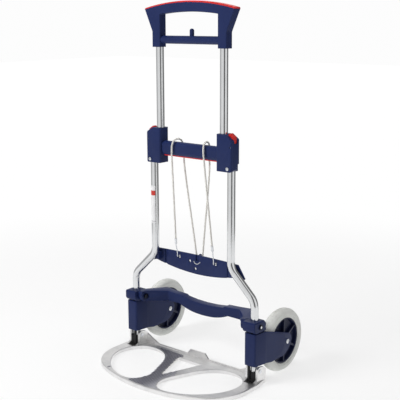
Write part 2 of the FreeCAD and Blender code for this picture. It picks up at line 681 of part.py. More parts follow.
def make_fork_fittings():
    """Bushes between fork and tube, the clips below them and the axles."""
    clips = []
    for side, sign in (("right", 1), ("left", -1)):
        x = d.gauge_foot * sign
        inner = d.tube_radius + d.running_gap
        rise = fork_top - fork_bottom
        bush = turned(side + "_fork_bush", [
            (inner, 0), (fork_bush_radius, 0), (fork_bush_radius, rise), (fork_bush_radius + 3, rise),
            (fork_bush_radius + 3, rise + 1.5), (inner, rise + 1.5)])
        node(place(bush, x, plane_y, fork_bottom), side + "_fork_bush")
        clip = ring(side + "ForkClip", d.tube_radius + 2.5, d.tube_radius, 1.5)
        clips.append(place(clip, x, plane_y, fork_bottom - 2))
        axle = bolt(side + "_axle", d.axle_radius, cheek_half * 2, 7, 2, 6.5, 2)
        node(place(axle, x - cheek_half, axle_y, d.wheel_radius, "X"), side + "_axle")
    group("fork_clips", clips)


def tyre(name):
    """A solid tyre with a shouldered tread, turned about its axle."""
    outer, inner, half = d.wheel_radius, d.wheel_radius - d.tyre_depth, d.wheel_width / 2
    body = turned(name, [
        (inner, -half + 3), (inner + 8, -half), (outer - 9, -half), (outer - 2.5, -half + 6), (outer, -half + 11),
        (outer, half - 11), (outer - 2.5, half - 6), (outer - 9, half), (inner + 8, half), (inner, half - 3)])
    return body


def rim(name):
    """A rim with a hub and six ribs."""
    outer, half = d.wheel_radius - d.tyre_depth, d.wheel_width / 2
    hub_half, bore = half + 1.5, d.axle_radius + 4
    body = turned(name, [
        (bore, -hub_half), (d.hub_radius, -hub_half), (d.hub_radius, -3), (outer - 6, -3), (outer - 4, -half + 3),
        (outer, -half + 3), (outer, half - 3), (outer - 4, half - 3), (outer - 6, 3), (d.hub_radius, 3),
        (d.hub_radius, hub_half), (bore, hub_half)])
    sketch = new_sketch(body, "XY_Plane", name + "RibSketch")
    low, high = d.hub_radius - 1, outer - 4.5
    draw_outline(sketch, [(low, -2.5), (high, -2.5), (high, 2.5), (low, 2.5)])
    rib = padded(body, sketch, half * 2 - 8, centred=True)
    doc.recompute()
    ribs = body.newObject("PartDesign::PolarPattern", name + "Ribs")
    ribs.Originals = [rib]
    ribs.Axis = (sketch, ["N_Axis"])
    ribs.Angle = 360
    ribs.Occurrences = 6
    body.Tip = ribs
    return body


def make_wheels():
    for side, sign in (("right", 1), ("left", -1)):
        spot = (d.gauge_foot * sign, axle_y, d.wheel_radius, "X")
        node(place(tyre(side + "_tyre"), *spot), side + "_tyre")
        node(place(rim(side + "_rim"), *spot), side + "_rim")
        half = d.wheel_width / 2 + 1.5
        bush = ring(side + "_wheel_bush", d.axle_radius + 4, d.axle_radius + d.running_gap, half * 2)
        node(place(bush, d.gauge_foot * sign - half, axle_y, d.wheel_radius, "X"), side + "_wheel_bush")


# ---------------------------------------------------------------- toe plate, hinge and feet
def toe_hole(sign, top, grown=0):
    """One of the two large openings up to a height, as a closed smooth curve, wider all round if grown."""
    side, front, wide = float(plane_y), float(d.toe_reach), float(toe_half_width)
    middle = V(0.49 * wide, -0.46 * front, 0)
    spots = ((0.12, -0.80), (0.21, -0.915), (0.455, -0.89), (0.70, -0.71), (0.855, -0.42), (0.835, -0.16),
             (0.715, -0.03), (0.575, -0.005), (0.405, -0.06), (0.255, -0.245), (0.155, -0.51))
    points = []
    for a, b in spots:
        spot = V(a * wide, b * front, 0)
        spot += (spot - middle).normalize() * grown
        points.append(V(sign * spot.x, side + spot.y, -1))
    curve = Part.BSplineCurve()
    curve.interpolate(points, PeriodicFlag=True)
    return Part.Face(Part.Wire([curve.toShape()])).extrude(V(0, 0, float(top) + 1))


rim_band = 8


def in_hole(edge, thick):
    """True for a top edge of the plate's three openings."""
    box = edge.BoundBox
    if abs(box.ZMin - float(thick)) > 1e-6 or box.ZMax - box.ZMin > 1e-6:
        return False
    if box.YMin < float(plane_y - d.toe_reach) + rim_band or box.YMax > float(plane_y + d.toe_rear) - rim_band:
        return False
    curved = edge.Curve.TypeId != "Part::GeomLine"
    wide = max(abs(box.XMin), abs(box.XMax)) > float(toe_half_width) - 12
    return abs(edge.CenterOfMass.x) < 40 or (curved and not wide)


def make_toe_plate():
    """Cast plate with three openings, hinge lugs, a rear lip and a middle tab."""
    y, wide, thick = plane_y, toe_half_width, d.toe_thickness
    rear, reach = y + d.toe_rear, d.toe_reach
    side_x, side_y = wide - 70, y - reach + 38
    shape = prism("Z", 0, thick, (-wide + 9, rear), (wide - 9, rear), (wide, y - 20), (wide, y - 75),
                  ((wide - 20, y - 140), (side_x, side_y)), ((0, y - reach), (-side_x, side_y)),
                  ((-wide + 20, y - 140), (-wide, y - 75)), (-wide, y - 20))
    shape = filleted(shape, 14, lambda edge: runs_along(edge, "Z") and edge.CenterOfMass.y < float(y) - 10)
    shape = filleted(shape, 2.5, lambda edge: abs(edge.CenterOfMass.z - float(thick)) < 1e-6)
    for sign in (1, -1):
        shape = shape.cut(toe_hole(sign, thick + 1))
    triangle = prism("Z", -1, thick + 1, (-43, y - 11), (43, y - 11), (3, y - 128), (-3, y - 128))
    triangle = filleted(triangle, 4, lambda edge: runs_along(edge, "Z"))
    shape = shape.cut(triangle)
    shape = filleted(shape, 1.5, lambda edge: in_hole(edge, thick))
    rise, grown = thick - d.toe_web, 5
    for sign in (1, -1):
        low, high = sorted((float(lug_inner - 8) * sign, float(wide) * sign))
        below = toe_hole(sign, rise, grown).cut(block(low, high, y - 38, rear + 1, -2, rise + 1))
        shape = shape.cut(below)
    below = prism("Z", -1, rise, (-43 - 2 * grown, y - 11 + grown), (43 + 2 * grown, y - 11 + grown),
                  (3 + grown, y - 128 - 2 * grown), (-3 - grown, y - 128 - 2 * grown))
    shape = shape.cut(filleted(below, 4, lambda edge: runs_along(edge, "Z")))
    shape = shape.fuse(block(-lug_inner, lug_inner, rear - 4, rear, thick - 1, thick + 3))
    shape = shape.fuse(prism("Y", rear - 4, rear, (-43, thick - 1), (43, thick - 1), (27, thick + 18),
                             (-27, thick + 18)))
    pin_z, lip = d.pin_height, rear - 1
    for sign in (1, -1):
        for near, far in ((lug_inner, lug_inner + d.lug_wall), (lug_outer - d.lug_wall, lug_outer)):
            low, high = sorted((float(near) * sign, float(far) * sign))
            lug = prism("X", low, high, (y - 24, thick - 1), (y - 12, thick + 6), (y - 12, pin_z),
                        ((y - 8.5, pin_z + 8.5), (y, pin_z + 12)), (y + 16, pin_z + 9), (lip, pin_z + 2),
                        (lip, thick - 1))
            shape = shape.fuse(lug)
            shape = shape.cut(rod_shape("X", d.bolt_radius + d.running_gap, low - 1, high + 1, y, pin_z))
        low, high = sorted((float(lug_inner + d.lug_wall) * sign, float(lug_outer - d.lug_wall) * sign))
        shape = shape.cut(block(low, high, y - 31, rear + 1, d.toe_floor, thick + 20))
        web = prism("Y", rear - 4, rear, (lug_inner * sign, thick - 1), (lug_inner * sign, pin_z - 2),
                    ((lug_inner - 55) * sign, thick - 1))
        shape = shape.fuse(web)
    solid("toe_plate", shape.removeSplitter())


def make_hinge_and_feet():
    """Hinge pins, plastic feet in the tube ends and the links that lead up to the forks."""
    pins = []
    x, y, z = d.gauge_foot, plane_y, d.pin_height
    for side, sign in (("right", 1), ("left", -1)):
        item = bolt(side + "HingePin", d.bolt_radius, lug_outer - lug_inner + 0.5, 6, 1.5, 5.5, 1.5)
        pins.append(place(item, x * sign - (lug_outer - lug_inner) / 2 - 0.25, y, z, "X"))
    group("toe_hinge_pins", pins)
    half = d.tube_radius + 2.5
    clear = z - d.toe_floor - 1.5
    foot = block(x - half, x + half, y - 14, y + 14, 0, z - 3)
    foot = foot.common(rod_shape("X", clear, x - half, x + half, y, z))
    foot = filleted(foot, 2, lambda edge: runs_along(edge, "Z"))
    foot = foot.cut(rod_shape("Z", d.tube_radius, lower_tube_end, z, x, y))
    foot = foot.cut(rod_shape("X", d.bolt_radius, x - half - 1, x + half + 1, y, z))
    pair("foot", foot)
    back = y - d.tube_radius - 3
    link = block(x - 10, x - 3, back - 3.5, back, d.toe_floor + 12, fork_bottom - 1)
    pair("fold_link", filleted(link, 1, lambda edge: runs_along(edge, "Z")))


# ---------------------------------------------------------------- label, cord and hooks
def make_label():
    """Thin blank sticker on the front of the left lower tube."""
    x, y = -gauge_lower, plane_y
    low, high = d.bracket_level - 178, d.bracket_level - 70
    skin = rod_shape("Z", d.tube_radius + 0.3, low, high, x, y).cut(
        rod_shape("Z", d.tube_radius, low - 1, high + 1, x, y))
    window = block(x - 8, x + 8, y - d.tube_radius - 2, y, low - 1, high + 1)
    solid("tube_label", skin.common(window))


def cord_route():
    """Points of the cord, left hook to right hook, over the bar and round the panel's middle."""
    y, bar, top = float(plane_y), float(bar_middle), float(panel_top)
    front, rear, over = y - 18, y + 21, bar + 28
    left = [(-66, y + 7, top + 42), (-57, front, bar - 10), (-55.5, front, bar + 16), (-53, y - 8, over),
            (-50, y + 11, over), (-47, rear, bar + 14), (-44, rear, bar - 14), (-13, y + 33, top + 9),
            (-9, y + 33.5, top - 14)]
    right = [(-x, b, c) for x, b, c in reversed(left)]
    return [V(*point) for point in left + right]


def make_cord():
    """Taut elastic cord and a wire hook at each of its ends."""
    path, radii = rounded_path(cord_route())
    print("cord radii:", [round(radius, 1) for radius in radii])
    print("cord length:", round(path.Length, 1))
    cord = rod_along(path, d.cord_diameter / 2)
    section = math.pi * float(d.cord_diameter) ** 2 / 4
    print("cord volume / (section x length):", round(cord.Volume / (section * path.Length), 4))
    solid("elastic_cord", cord)
    x, y, top = 66.0, float(plane_y), float(panel_top)
    before, start = cord_route()[-2:]
    onward = (start - before).normalize()
    front = y + 14
    spots = [start + onward * 6, start + onward * 22, V(x, front, top - 2), V(x, front, top - 14),
             V(x, front + 18, top - 14), V(x, front + 18, top - 3)]
    wire = rod_along(rounded_path(spots, 3.5)[0], 1.6)
    ferrule = Part.makeCylinder(3.6, 16, start, onward)
    pair("cord_hook", ferrule.fuse(wire).removeSplitter())


# ---------------------------------------------------------------- build, check and write
def check_and_write():
    """Stops at any failed object or bad shape, then writes one file for each sub-part."""
    doc.recompute()
    for item in doc.Objects:
        if "Invalid" in item.State or "Error" in item.State:
            raise ValueError(f"{item.Label} failed: {item.State}")
    os.makedirs("parts", exist_ok=True)
    for item in NODES:
        shape = item.Shape
        if shape.isNull() or not shape.isValid() or not shape.Solids:
            raise ValueError(f"{item.Label} has no valid solid")
        shape.exportStep(f"parts/{item.Label}.step")
    print(len(NODES), "sub-parts written")


make_lower_tubes()
make_upper_tubes()
make_mid_brackets()
make_bracket_fittings()
make_levers()
make_carry_bar()
make_handle()
make_load_panel()
make_collars()
make_spreader_bar()
make_forks()
make_fork_fittings()
make_wheels()
make_toe_plate()
make_hinge_and_feet()
make_label()
make_cord()
check_and_write()
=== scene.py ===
"""Looks of a folding hand truck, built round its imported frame.

Lengths are in metres. +Z is up, the toe plate points towards -Y and the wheels towards +Y.
"""

import logging
import math
from dataclasses import dataclass, field
from enum import Enum
from typing import Any, Optional, Sequence, Union

import bmesh
import bpy
from mathutils import Matrix, Vector
from mathutils.bvhtree import BVHTree


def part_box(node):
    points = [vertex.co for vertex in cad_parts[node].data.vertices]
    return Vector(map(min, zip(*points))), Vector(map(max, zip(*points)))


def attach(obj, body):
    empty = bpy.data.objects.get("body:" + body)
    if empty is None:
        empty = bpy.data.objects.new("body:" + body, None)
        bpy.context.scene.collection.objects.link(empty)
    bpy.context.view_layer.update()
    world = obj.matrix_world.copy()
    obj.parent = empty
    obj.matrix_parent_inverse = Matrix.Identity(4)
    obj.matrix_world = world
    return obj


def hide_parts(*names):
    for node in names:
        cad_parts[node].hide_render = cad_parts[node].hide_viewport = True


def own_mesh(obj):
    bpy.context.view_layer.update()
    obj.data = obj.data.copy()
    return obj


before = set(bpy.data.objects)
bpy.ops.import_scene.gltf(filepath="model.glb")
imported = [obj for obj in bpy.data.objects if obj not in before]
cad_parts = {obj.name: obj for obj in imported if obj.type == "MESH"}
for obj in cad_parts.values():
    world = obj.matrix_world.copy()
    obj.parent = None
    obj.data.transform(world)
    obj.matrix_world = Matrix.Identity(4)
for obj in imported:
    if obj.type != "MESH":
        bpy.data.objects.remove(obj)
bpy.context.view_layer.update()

log = logging.getLogger("hand_truck")
SIDES = (("left", -1), ("right", 1))
Colour = tuple[float, float, float]
Point = tuple[float, float, float]


class Slot(Enum):
    """Material slots of the record."""

    TUBE = "tube_aluminium"
    NAVY = "navy_plastic"
    RED = "red_plastic"
    BLACK = "black_plastic"
    ZINC = "zinc_steel"
    TYRE = "tyre_rubber"
    RIM = "rim_plastic"
    CAST = "cast_aluminium"
    LABEL = "white_label"
    CORD = "cord_fabric"


# ------------------------------------------------------------------ node graphs
class Term:
    """A number socket that grows Math nodes when it is used in an expression."""

    def __init__(self, graph: "Graph", socket: bpy.types.NodeSocket) -> None:
        """Keeps the graph and the socket."""
        self.graph, self.socket = graph, socket

    def math(self, operation: str, *others: Union["Term", float],
             first: Optional[float] = None) -> "Term":
        """Adds one Math node.

        Args:
            operation: the node's operation.
            others: what follows this socket.
            first: a number that comes before this socket, for reflected operators.

        Returns:
            The node's result.
        """
        terms = ([first] if first is not None else []) + [self, *others]
        node = self.graph.add("ShaderNodeMath", {"operation": operation}, dict(enumerate(terms)))
        return Term(self.graph, node.outputs[0])

    def __add__(self, other: Union["Term", float]) -> "Term":
        """Sum."""
        return self.math("ADD", other)

    __radd__ = __add__

    def __sub__(self, other: Union["Term", float]) -> "Term":
        """Difference."""
        return self.math("SUBTRACT", other)

    def __rsub__(self, other: float) -> "Term":
        """Difference from a number."""
        return self.math("SUBTRACT", first=other)

    def __mul__(self, other: Union["Term", float]) -> "Term":
        """Product."""
        return self.math("MULTIPLY", other)

    __rmul__ = __mul__

    def above(self, edge: float) -> "Term":
        """1 where the value is over an edge, else 0."""
        return self.math("GREATER_THAN", edge)

    def wave(self) -> "Term":
        """Sine, from -1 to 1."""
        return self.math("SINE")

    def ramp(self, low: float, high: float, bottom: float = 0.0, top: float = 1.0) -> "Term":
        """Smooth step from low to high.

        Args:
            low: value that gives bottom.
            high: value that gives top.
            bottom: lowest result.
            top: highest result.

        Returns:
            The mapped value.
        """
        node = self.graph.add(
            "ShaderNodeMapRange", {"interpolation_type": "SMOOTHSTEP"},
            {"Value": self, "From Min": low, "From Max": high, "To Min": bottom, "To Max": top})
        return Term(self.graph, node.outputs["Result"])


class Graph:
    """A node tree with one way to add a node."""

    def __init__(self, tree: bpy.types.NodeTree) -> None:
        """Empties the tree."""
        self.tree = tree
        tree.nodes.clear()

    def feed(self, socket: bpy.types.NodeSocket, value: Any) -> None:
        """Gives a socket a link or a value.

        Args:
            socket: the input.
            value: a term or another socket to link, or a plain value to set.
        """
        if isinstance(value, Term):
            value = value.socket
        if isinstance(value, bpy.types.NodeSocket):
            self.tree.links.new(value, socket)
        else:
            socket.default_value = value

    def add(self, kind: str, settings: Optional[dict] = None,
            sockets: Optional[dict] = None) -> bpy.types.Node:
        """Adds a node.

        Args:
            kind: the node's type name.
            settings: its properties; "stops" gives a ramp's (place, colour) stops.
            sockets: values or links by socket name or number.

        Returns:
            The node.
        """
        node = self.tree.nodes.new(kind)
        for name, value in (settings or {}).items():
            if name == "stops":
                stops = node.color_ramp.elements
                while len(stops) < len(value):
                    stops.new(0.5)
                for stop, (place, colour) in zip(stops, value):
                    stop.position, stop.color = place, (*colour, 1.0)
            else:
                setattr(node, name, value)
        for name, value in (sockets or {}).items():
            self.feed(node.inputs[name], value)
        return node

    def blend(self, share: Union[Term, float], first: Any, second: Any) -> bpy.types.NodeSocket:
        """Blends two colours by a share.

        Args:
            share: 0 for the first colour, 1 for the second.
            first: a colour or a socket.
            second: a colour or a socket.

        Returns:
            The blended colour.
        """
        node = self.add("ShaderNodeMix", {"data_type": "RGBA"}, {
            0: share,
            6: (*first, 1.0) if isinstance(first, tuple) else first,
            7: (*second, 1.0) if isinstance(second, tuple) else second})
        return node.outputs[2]


class Surface(Graph):
    """A material's graph, ending in one Principled shader."""

    def __init__(self, name: str, **constants: Any) -> None:
        """Makes the material.

        Args:
            name: the material's name.
            constants: shader sockets that are the same all over, spaces written as underscores.
        """
        self.material = bpy.data.materials.new(name)
        self.material.use_nodes = True
        super().__init__(self.material.node_tree)
        self.shader = self.add("ShaderNodeBsdfPrincipled", None,
                               {key.replace("_", " "): value for key, value in constants.items()})
        self.add("ShaderNodeOutputMaterial", None, {"Surface": self.shader.outputs[0]})
        self.place = self.add("ShaderNodeTexCoord").outputs["Object"]

    def shifted(self, centre: Point = (0, 0, 0),
                scale: Point = (1, 1, 1)) -> bpy.types.NodeSocket:
        """Object coordinates about a centre, stretched along the axes.

        Args:
            centre: the place that becomes the origin.
            scale: how much finer the pattern gets along each axis.

        Returns:
            The coordinates.
        """
        moved = [-c * s for c, s in zip(centre, scale)]
        return self.add("ShaderNodeMapping", None,
                        {"Vector": self.place, "Location": moved, "Scale": scale}).outputs[0]

    def axes(self, vector: bpy.types.NodeSocket) -> list[Term]:
        """The three parts of a vector."""
        parts = self.add("ShaderNodeSeparateXYZ", None, {0: vector})
        return [Term(self, out) for out in parts.outputs]

    def noise(self, scale: float, detail: float = 2.0, vector: Any = None,
              roughness: float = 0.5) -> Term:
        """Fractal noise from 0 to 1.

        Args:
            scale: patches in a metre.
            detail: how many finer layers are added.
            vector: coordinates other than the object's.
            roughness: strength of the finer layers.

        Returns:
            The noise.
        """
        node = self.add("ShaderNodeTexNoise", None, {
            "Vector": vector or self.place, "Scale": scale, "Detail": detail,
            "Roughness": roughness})
        return Term(self, node.outputs[0])

    def cells(self, scale: float) -> Term:
        """Distance to the nearest of many scattered points."""
        node = self.add("ShaderNodeTexVoronoi", None, {"Vector": self.place, "Scale": scale})
        return Term(self, node.outputs[0])

    def set(self, **links: Any) -> None:
        """Feeds shader sockets that change over the surface."""
        for key, value in links.items():
            self.feed(self.shader.inputs[key.replace("_", " ")], value)

    def bump(self, height: Term, depth: float, strength: float = 1.0) -> None:
        """Feeds the shader's normal with a height.

        Args:
            height: the height, from 0 to 1.
            depth: what a height of 1 stands for, in metres.
            strength: share of the effect that is kept.
        """
        node = self.add("ShaderNodeBump", None, {
            "Height": height, "Distance": depth, "Strength": strength})
        self.set(Normal=node.outputs[0])

    def ring(self, centre: Point) -> tuple[Term, Term]:
        """Place along X and distance from an axle that runs along X.

        Args:
            centre: a point on the axle.

        Returns:
            The place across, from the centre, and the distance.
        """
        across, along, up = self.axes(self.shifted(centre))
        return across, (along * along + up * up).math("SQRT")


# ------------------------------------------------------------------ finishes
def faded(colour: Colour, share: float) -> Colour:
    """A colour with less light in it."""
    return tuple(part * share for part in colour)


@dataclass(frozen=True)
class Moulded:
    """Moulded nylon with a fine spark-eroded grain and faint flow marks."""

    name: str
    colour: Colour
    light: Colour
    rough: float = 0.42
    grain: float = 0.00006
    shine: float = 0.18
    flow_scale: float = 9.0
    grain_scale: float = 2600.0
    pit_scale: float = 900.0
    scuff_scale: float = 60.0

    def material(self) -> bpy.types.Material:
        """Builds the material.

        Returns:
            The finished material.
        """
        s = Surface(self.name, Specular_IOR_Level=self.shine, IOR=1.5)
        flow = s.noise(self.flow_scale, 3.0)
        grain = s.noise(self.grain_scale)
        scuff = s.noise(self.scuff_scale, 5.0, s.shifted(scale=(1, 1, 0.25))).ramp(0.62, 0.74)
        patches = flow.ramp(0.3, 0.7) * 0.45 + scuff * 0.35
        s.set(Base_Color=s.blend(patches, self.colour, self.light))
        s.set(Roughness=flow * 0.08 + grain * 0.10 + scuff * 0.10 + (self.rough - 0.1))
        s.bump(grain + s.cells(self.pit_scale) * 0.5, self.grain)
        return s.material


@dataclass(frozen=True)
class Drawn:
    """Drawn and anodised tube, with fine lines along its length."""

    name: str
    colour: Colour = (0.75, 0.76, 0.77)
    rough: float = 0.13
    line_scale: Point = (2400, 2400, 14)
    line_depth: float = 0.000015
    cloud_scale: float = 22.0

    def material(self) -> bpy.types.Material:
        """Builds the material.

        Returns:
            The finished material.
        """
        s = Surface(self.name, Metallic=1.0)
        lines = s.noise(1.0, 3.0, s.shifted(scale=self.line_scale))
        cloud = s.noise(self.cloud_scale, 3.0)
        s.set(Base_Color=s.blend(cloud.ramp(0.3, 0.75), self.colour, faded(self.colour, 0.93)))
        s.set(Roughness=lines * 0.14 + cloud * 0.06 + (self.rough - 0.08))
        s.bump(lines, self.line_depth, 0.6)
        return s.material


@dataclass(frozen=True)
class Cast:
    """Die-cast and tumbled aluminium with a fine skin and dull handling marks."""

    name: str
    colour: Colour = (0.86, 0.855, 0.85)
    dull: Colour = (0.70, 0.70, 0.71)
    rough: float = 0.36
    skin_scale: float = 1400.0
    skin_depth: float = 0.00010
    pit_scale: float = 420.0
    patch_scale: float = 16.0
    rub_scale: Point = (40, 260, 40)

    def material(self) -> bpy.types.Material:
        """Builds the material.

        Returns:
            The finished material.
        """
        s = Surface(self.name, Metallic=1.0)
        skin = s.noise(self.skin_scale, 3.0)
        patch = s.noise(self.patch_scale, 5.0, roughness=0.62)
        rub = s.noise(1.0, 4.0, s.shifted(scale=self.rub_scale)).ramp(0.55, 0.75)
        dulled = patch.ramp(0.42, 0.72) * 0.6 + rub * 0.25
        s.set(Base_Color=s.blend(dulled, self.colour, self.dull))
        s.set(Roughness=patch * 0.20 + skin * 0.10 + rub * 0.08 + (self.rough - 0.12))
        s.bump(skin + s.cells(self.pit_scale) * 0.6, self.skin_depth, 0.8)
        return s.material


@dataclass(frozen=True)
class RibbedCast:
    """Grip surface: painted shade between the ridges that fades to bare metal towards +X, and bare
    metal on their tops.
    """

    name: str
    level: float
    blend: float = 0.0002
    # painted shade: place along X where the painted shade in the valleys has faded to bare metal
    valley_shade_until: float = 0.045
    worn_scale: float = 90.0
    skin_scale: float = 1400.0
    skin_depth: float = 0.00008
    ridge: Colour = (0.80, 0.80, 0.86)
    # painted shade: dark colour that stands in for the shade between the ridges
    valley_shade: Colour = (0.050, 0.044, 0.085)
    bare: Colour = (0.72, 0.72, 0.74)

    def material(self) -> bpy.types.Material:
        """Builds the material.

        Returns:
            The finished material.
        """
        s = Surface(self.name, Metallic=0.8)
        across, _, up = s.axes(s.place)
        worn = s.noise(self.worn_scale, 4.0)
        top = up.ramp(self.level, self.level + self.blend) * (worn * 0.5 + 0.6)
        # painted shade: the valleys take a dark colour that stands in for the shade between the
        # ridges, fading to bare metal across the plate towards +X
        valley_shade = s.blend(across.ramp(0.0, self.valley_shade_until), self.valley_shade, self.bare)
        s.set(Base_Color=s.blend(top, valley_shade, self.ridge), Roughness=worn * 0.2 + 0.30)
        s.bump(s.noise(self.skin_scale, 3.0), self.skin_depth, 0.8)
        return s.material


@dataclass(frozen=True)
class Plated:
    """Bright zinc-plated steel with a soft spangle."""

    name: str
    colour: Colour = (0.78, 0.80, 0.83)
    rough: float = 0.24
    spangle_scale: float = 240.0
    skin_scale: float = 1500.0
    skin_depth: float = 0.00002

    def material(self) -> bpy.types.Material:
        """Builds the material.

        Returns:
            The finished material.
        """
        s = Surface(self.name, Metallic=1.0)
        spangle = s.noise(self.spangle_scale, 3.0)
        s.set(Base_Color=s.blend(spangle.ramp(0.35, 0.7), self.colour, faded(self.colour, 0.86)))
        s.set(Roughness=spangle * 0.16 + (self.rough - 0.06))
        s.bump(s.noise(self.skin_scale), self.skin_depth)
        return s.material


@dataclass(frozen=True)
class BoltMetal:
    """Blackened nuts inside the collars, bright heads outside."""

    name: str
    centre: Point
    head_from: float = 0.230
    head_radius: float = 0.0034
    blend: float = 0.0004
    tarnish_scale: float = 260.0
    skin_depth: float = 0.00002
    bright: Colour = (0.78, 0.80, 0.83)
    black: Colour = (0.030, 0.032, 0.045)

    def material(self) -> bpy.types.Material:
        """Builds the material.

        Returns:
            The finished material.
        """
        s = Surface(self.name, Metallic=1.0)
        across, radius = s.ring(self.centre)
        core = radius.ramp(self.head_radius - self.blend, self.head_radius, 1.0, 0.0)
        bright = across.math("ABSOLUTE").above(self.head_from) * core
        tarnish = s.noise(self.tarnish_scale, 3.0)
        s.set(Base_Color=s.blend(bright, self.black, self.bright))
        s.set(Roughness=tarnish * 0.20 + 0.24)
        s.bump(tarnish, self.skin_depth)
        return s.material


@dataclass(frozen=True)
class SolidTyre:
    """Pale grey rubber, scuffed along the tread and dusty in the shoulder."""

    name: str
    centre: Point
    tread: float
    scuff_inner: float = 0.006
    scuff_outer: float = 0.001
    dirt_scale: float = 70.0
    skin_scale: float = 900.0
    skin_depth: float = 0.00018
    colour: Colour = (0.75, 0.76, 0.73)
    dusty: Colour = (0.60, 0.59, 0.56)

    def material(self) -> bpy.types.Material:
        """Builds the material.

        Returns:
            The finished material.
        """
        s = Surface(self.name, Specular_IOR_Level=0.35)
        radius = s.ring(self.centre)[1]
        rolled = radius.ramp(self.tread - self.scuff_inner, self.tread - self.scuff_outer)
        dirt = s.noise(self.dirt_scale, 6.0, roughness=0.68)
        skin = s.noise(self.skin_scale, 3.0)
        dust = dirt.ramp(0.45, 0.75) * (rolled * 0.5 + 0.22)
        s.set(Base_Color=s.blend(dust, self.colour, self.dusty))
        s.set(Roughness=rolled * 0.18 + dirt * 0.12 + 0.50)
        s.bump(skin * 0.6 + dirt * rolled, self.skin_depth, 0.8)
        return s.material


@dataclass(frozen=True)
class Braid:
    """Woven sleeve of an elastic cord, drawn on its own UV map (turns, metres), with painted shade
    in the hollows between the strands.
    """

    name: str
    colour: Colour = (0.93, 0.91, 0.86)
    # painted shade: darker colour of the hollows between the strands
    weave_shade: Colour = (0.66, 0.64, 0.60)
    strands: int = 8
    pitch: float = 0.0045
    weave_depth: float = 0.00022
    fibre_scale: float = 3200.0

    def material(self) -> bpy.types.Material:
        """Builds the material.

        Returns:
            The finished material.
        """
        s = Surface(self.name, Specular_IOR_Level=0.25)
        turn, run, _ = s.axes(s.add("ShaderNodeUVMap", {"uv_map": "UVMap"}).outputs[0])
        around = turn * (self.strands * 2 * math.pi)
        along = run * (2 * math.pi / self.pitch)
        one, two = (around + along).wave(), (around - along).wave()
        over = (one * two).above(0.0)
        height = over * (one * one) + (1.0 - over) * (two * two)
        fibre = s.noise(self.fibre_scale)
        # painted shade: the low parts of the weave, between the strands, take the darker colour
        s.set(Base_Color=s.blend(height.ramp(0.15, 0.75), self.weave_shade, self.colour))
        s.set(Roughness=fibre * 0.15 + 0.68)
        s.bump(height + fibre * 0.3, self.weave_depth)
        return s.material


@dataclass(frozen=True)
class Sticker:
    """Blank white film with one plain red block and a grey edge line."""

    name: str
    low: float
    high: float
    block_span: tuple[float, float] = (0.028, 0.014)
    rule_span: tuple[float, float] = (0.0035, 0.005)
    colour: Colour = (0.82, 0.82, 0.83)
    block_ink: Colour = (0.55, 0.03, 0.02)
    rule_ink: Colour = (0.25, 0.25, 0.27)
    paper_scale: float = 45.0
    gloss_scale: float = 300.0
    skin_scale: float = 700.0
    skin_depth: float = 0.00002

    def material(self) -> bpy.types.Material:
        """Builds the material.

        Returns:
            The finished material.
        """
        s = Surface(self.name, Specular_IOR_Level=0.5)
        up = s.axes(s.place)[2]
        block_low, block_high = (self.high - drop for drop in self.block_span)
        rule_low, rule_high = (self.low + rise for rise in self.rule_span)
        block = up.above(block_low) * (1.0 - up.above(block_high))
        rule = up.above(rule_low) * (1.0 - up.above(rule_high))
        cloud = s.noise(self.paper_scale, 3.0).ramp(0.3, 0.8)
        paper = s.blend(cloud, self.colour, faded(self.colour, 0.93))
        s.set(Base_Color=s.blend(block, s.blend(rule, paper, self.rule_ink), self.block_ink))
        s.set(Roughness=s.noise(self.gloss_scale) * 0.10 + 0.26)
        s.bump(s.noise(self.skin_scale), self.skin_depth)
        return s.material


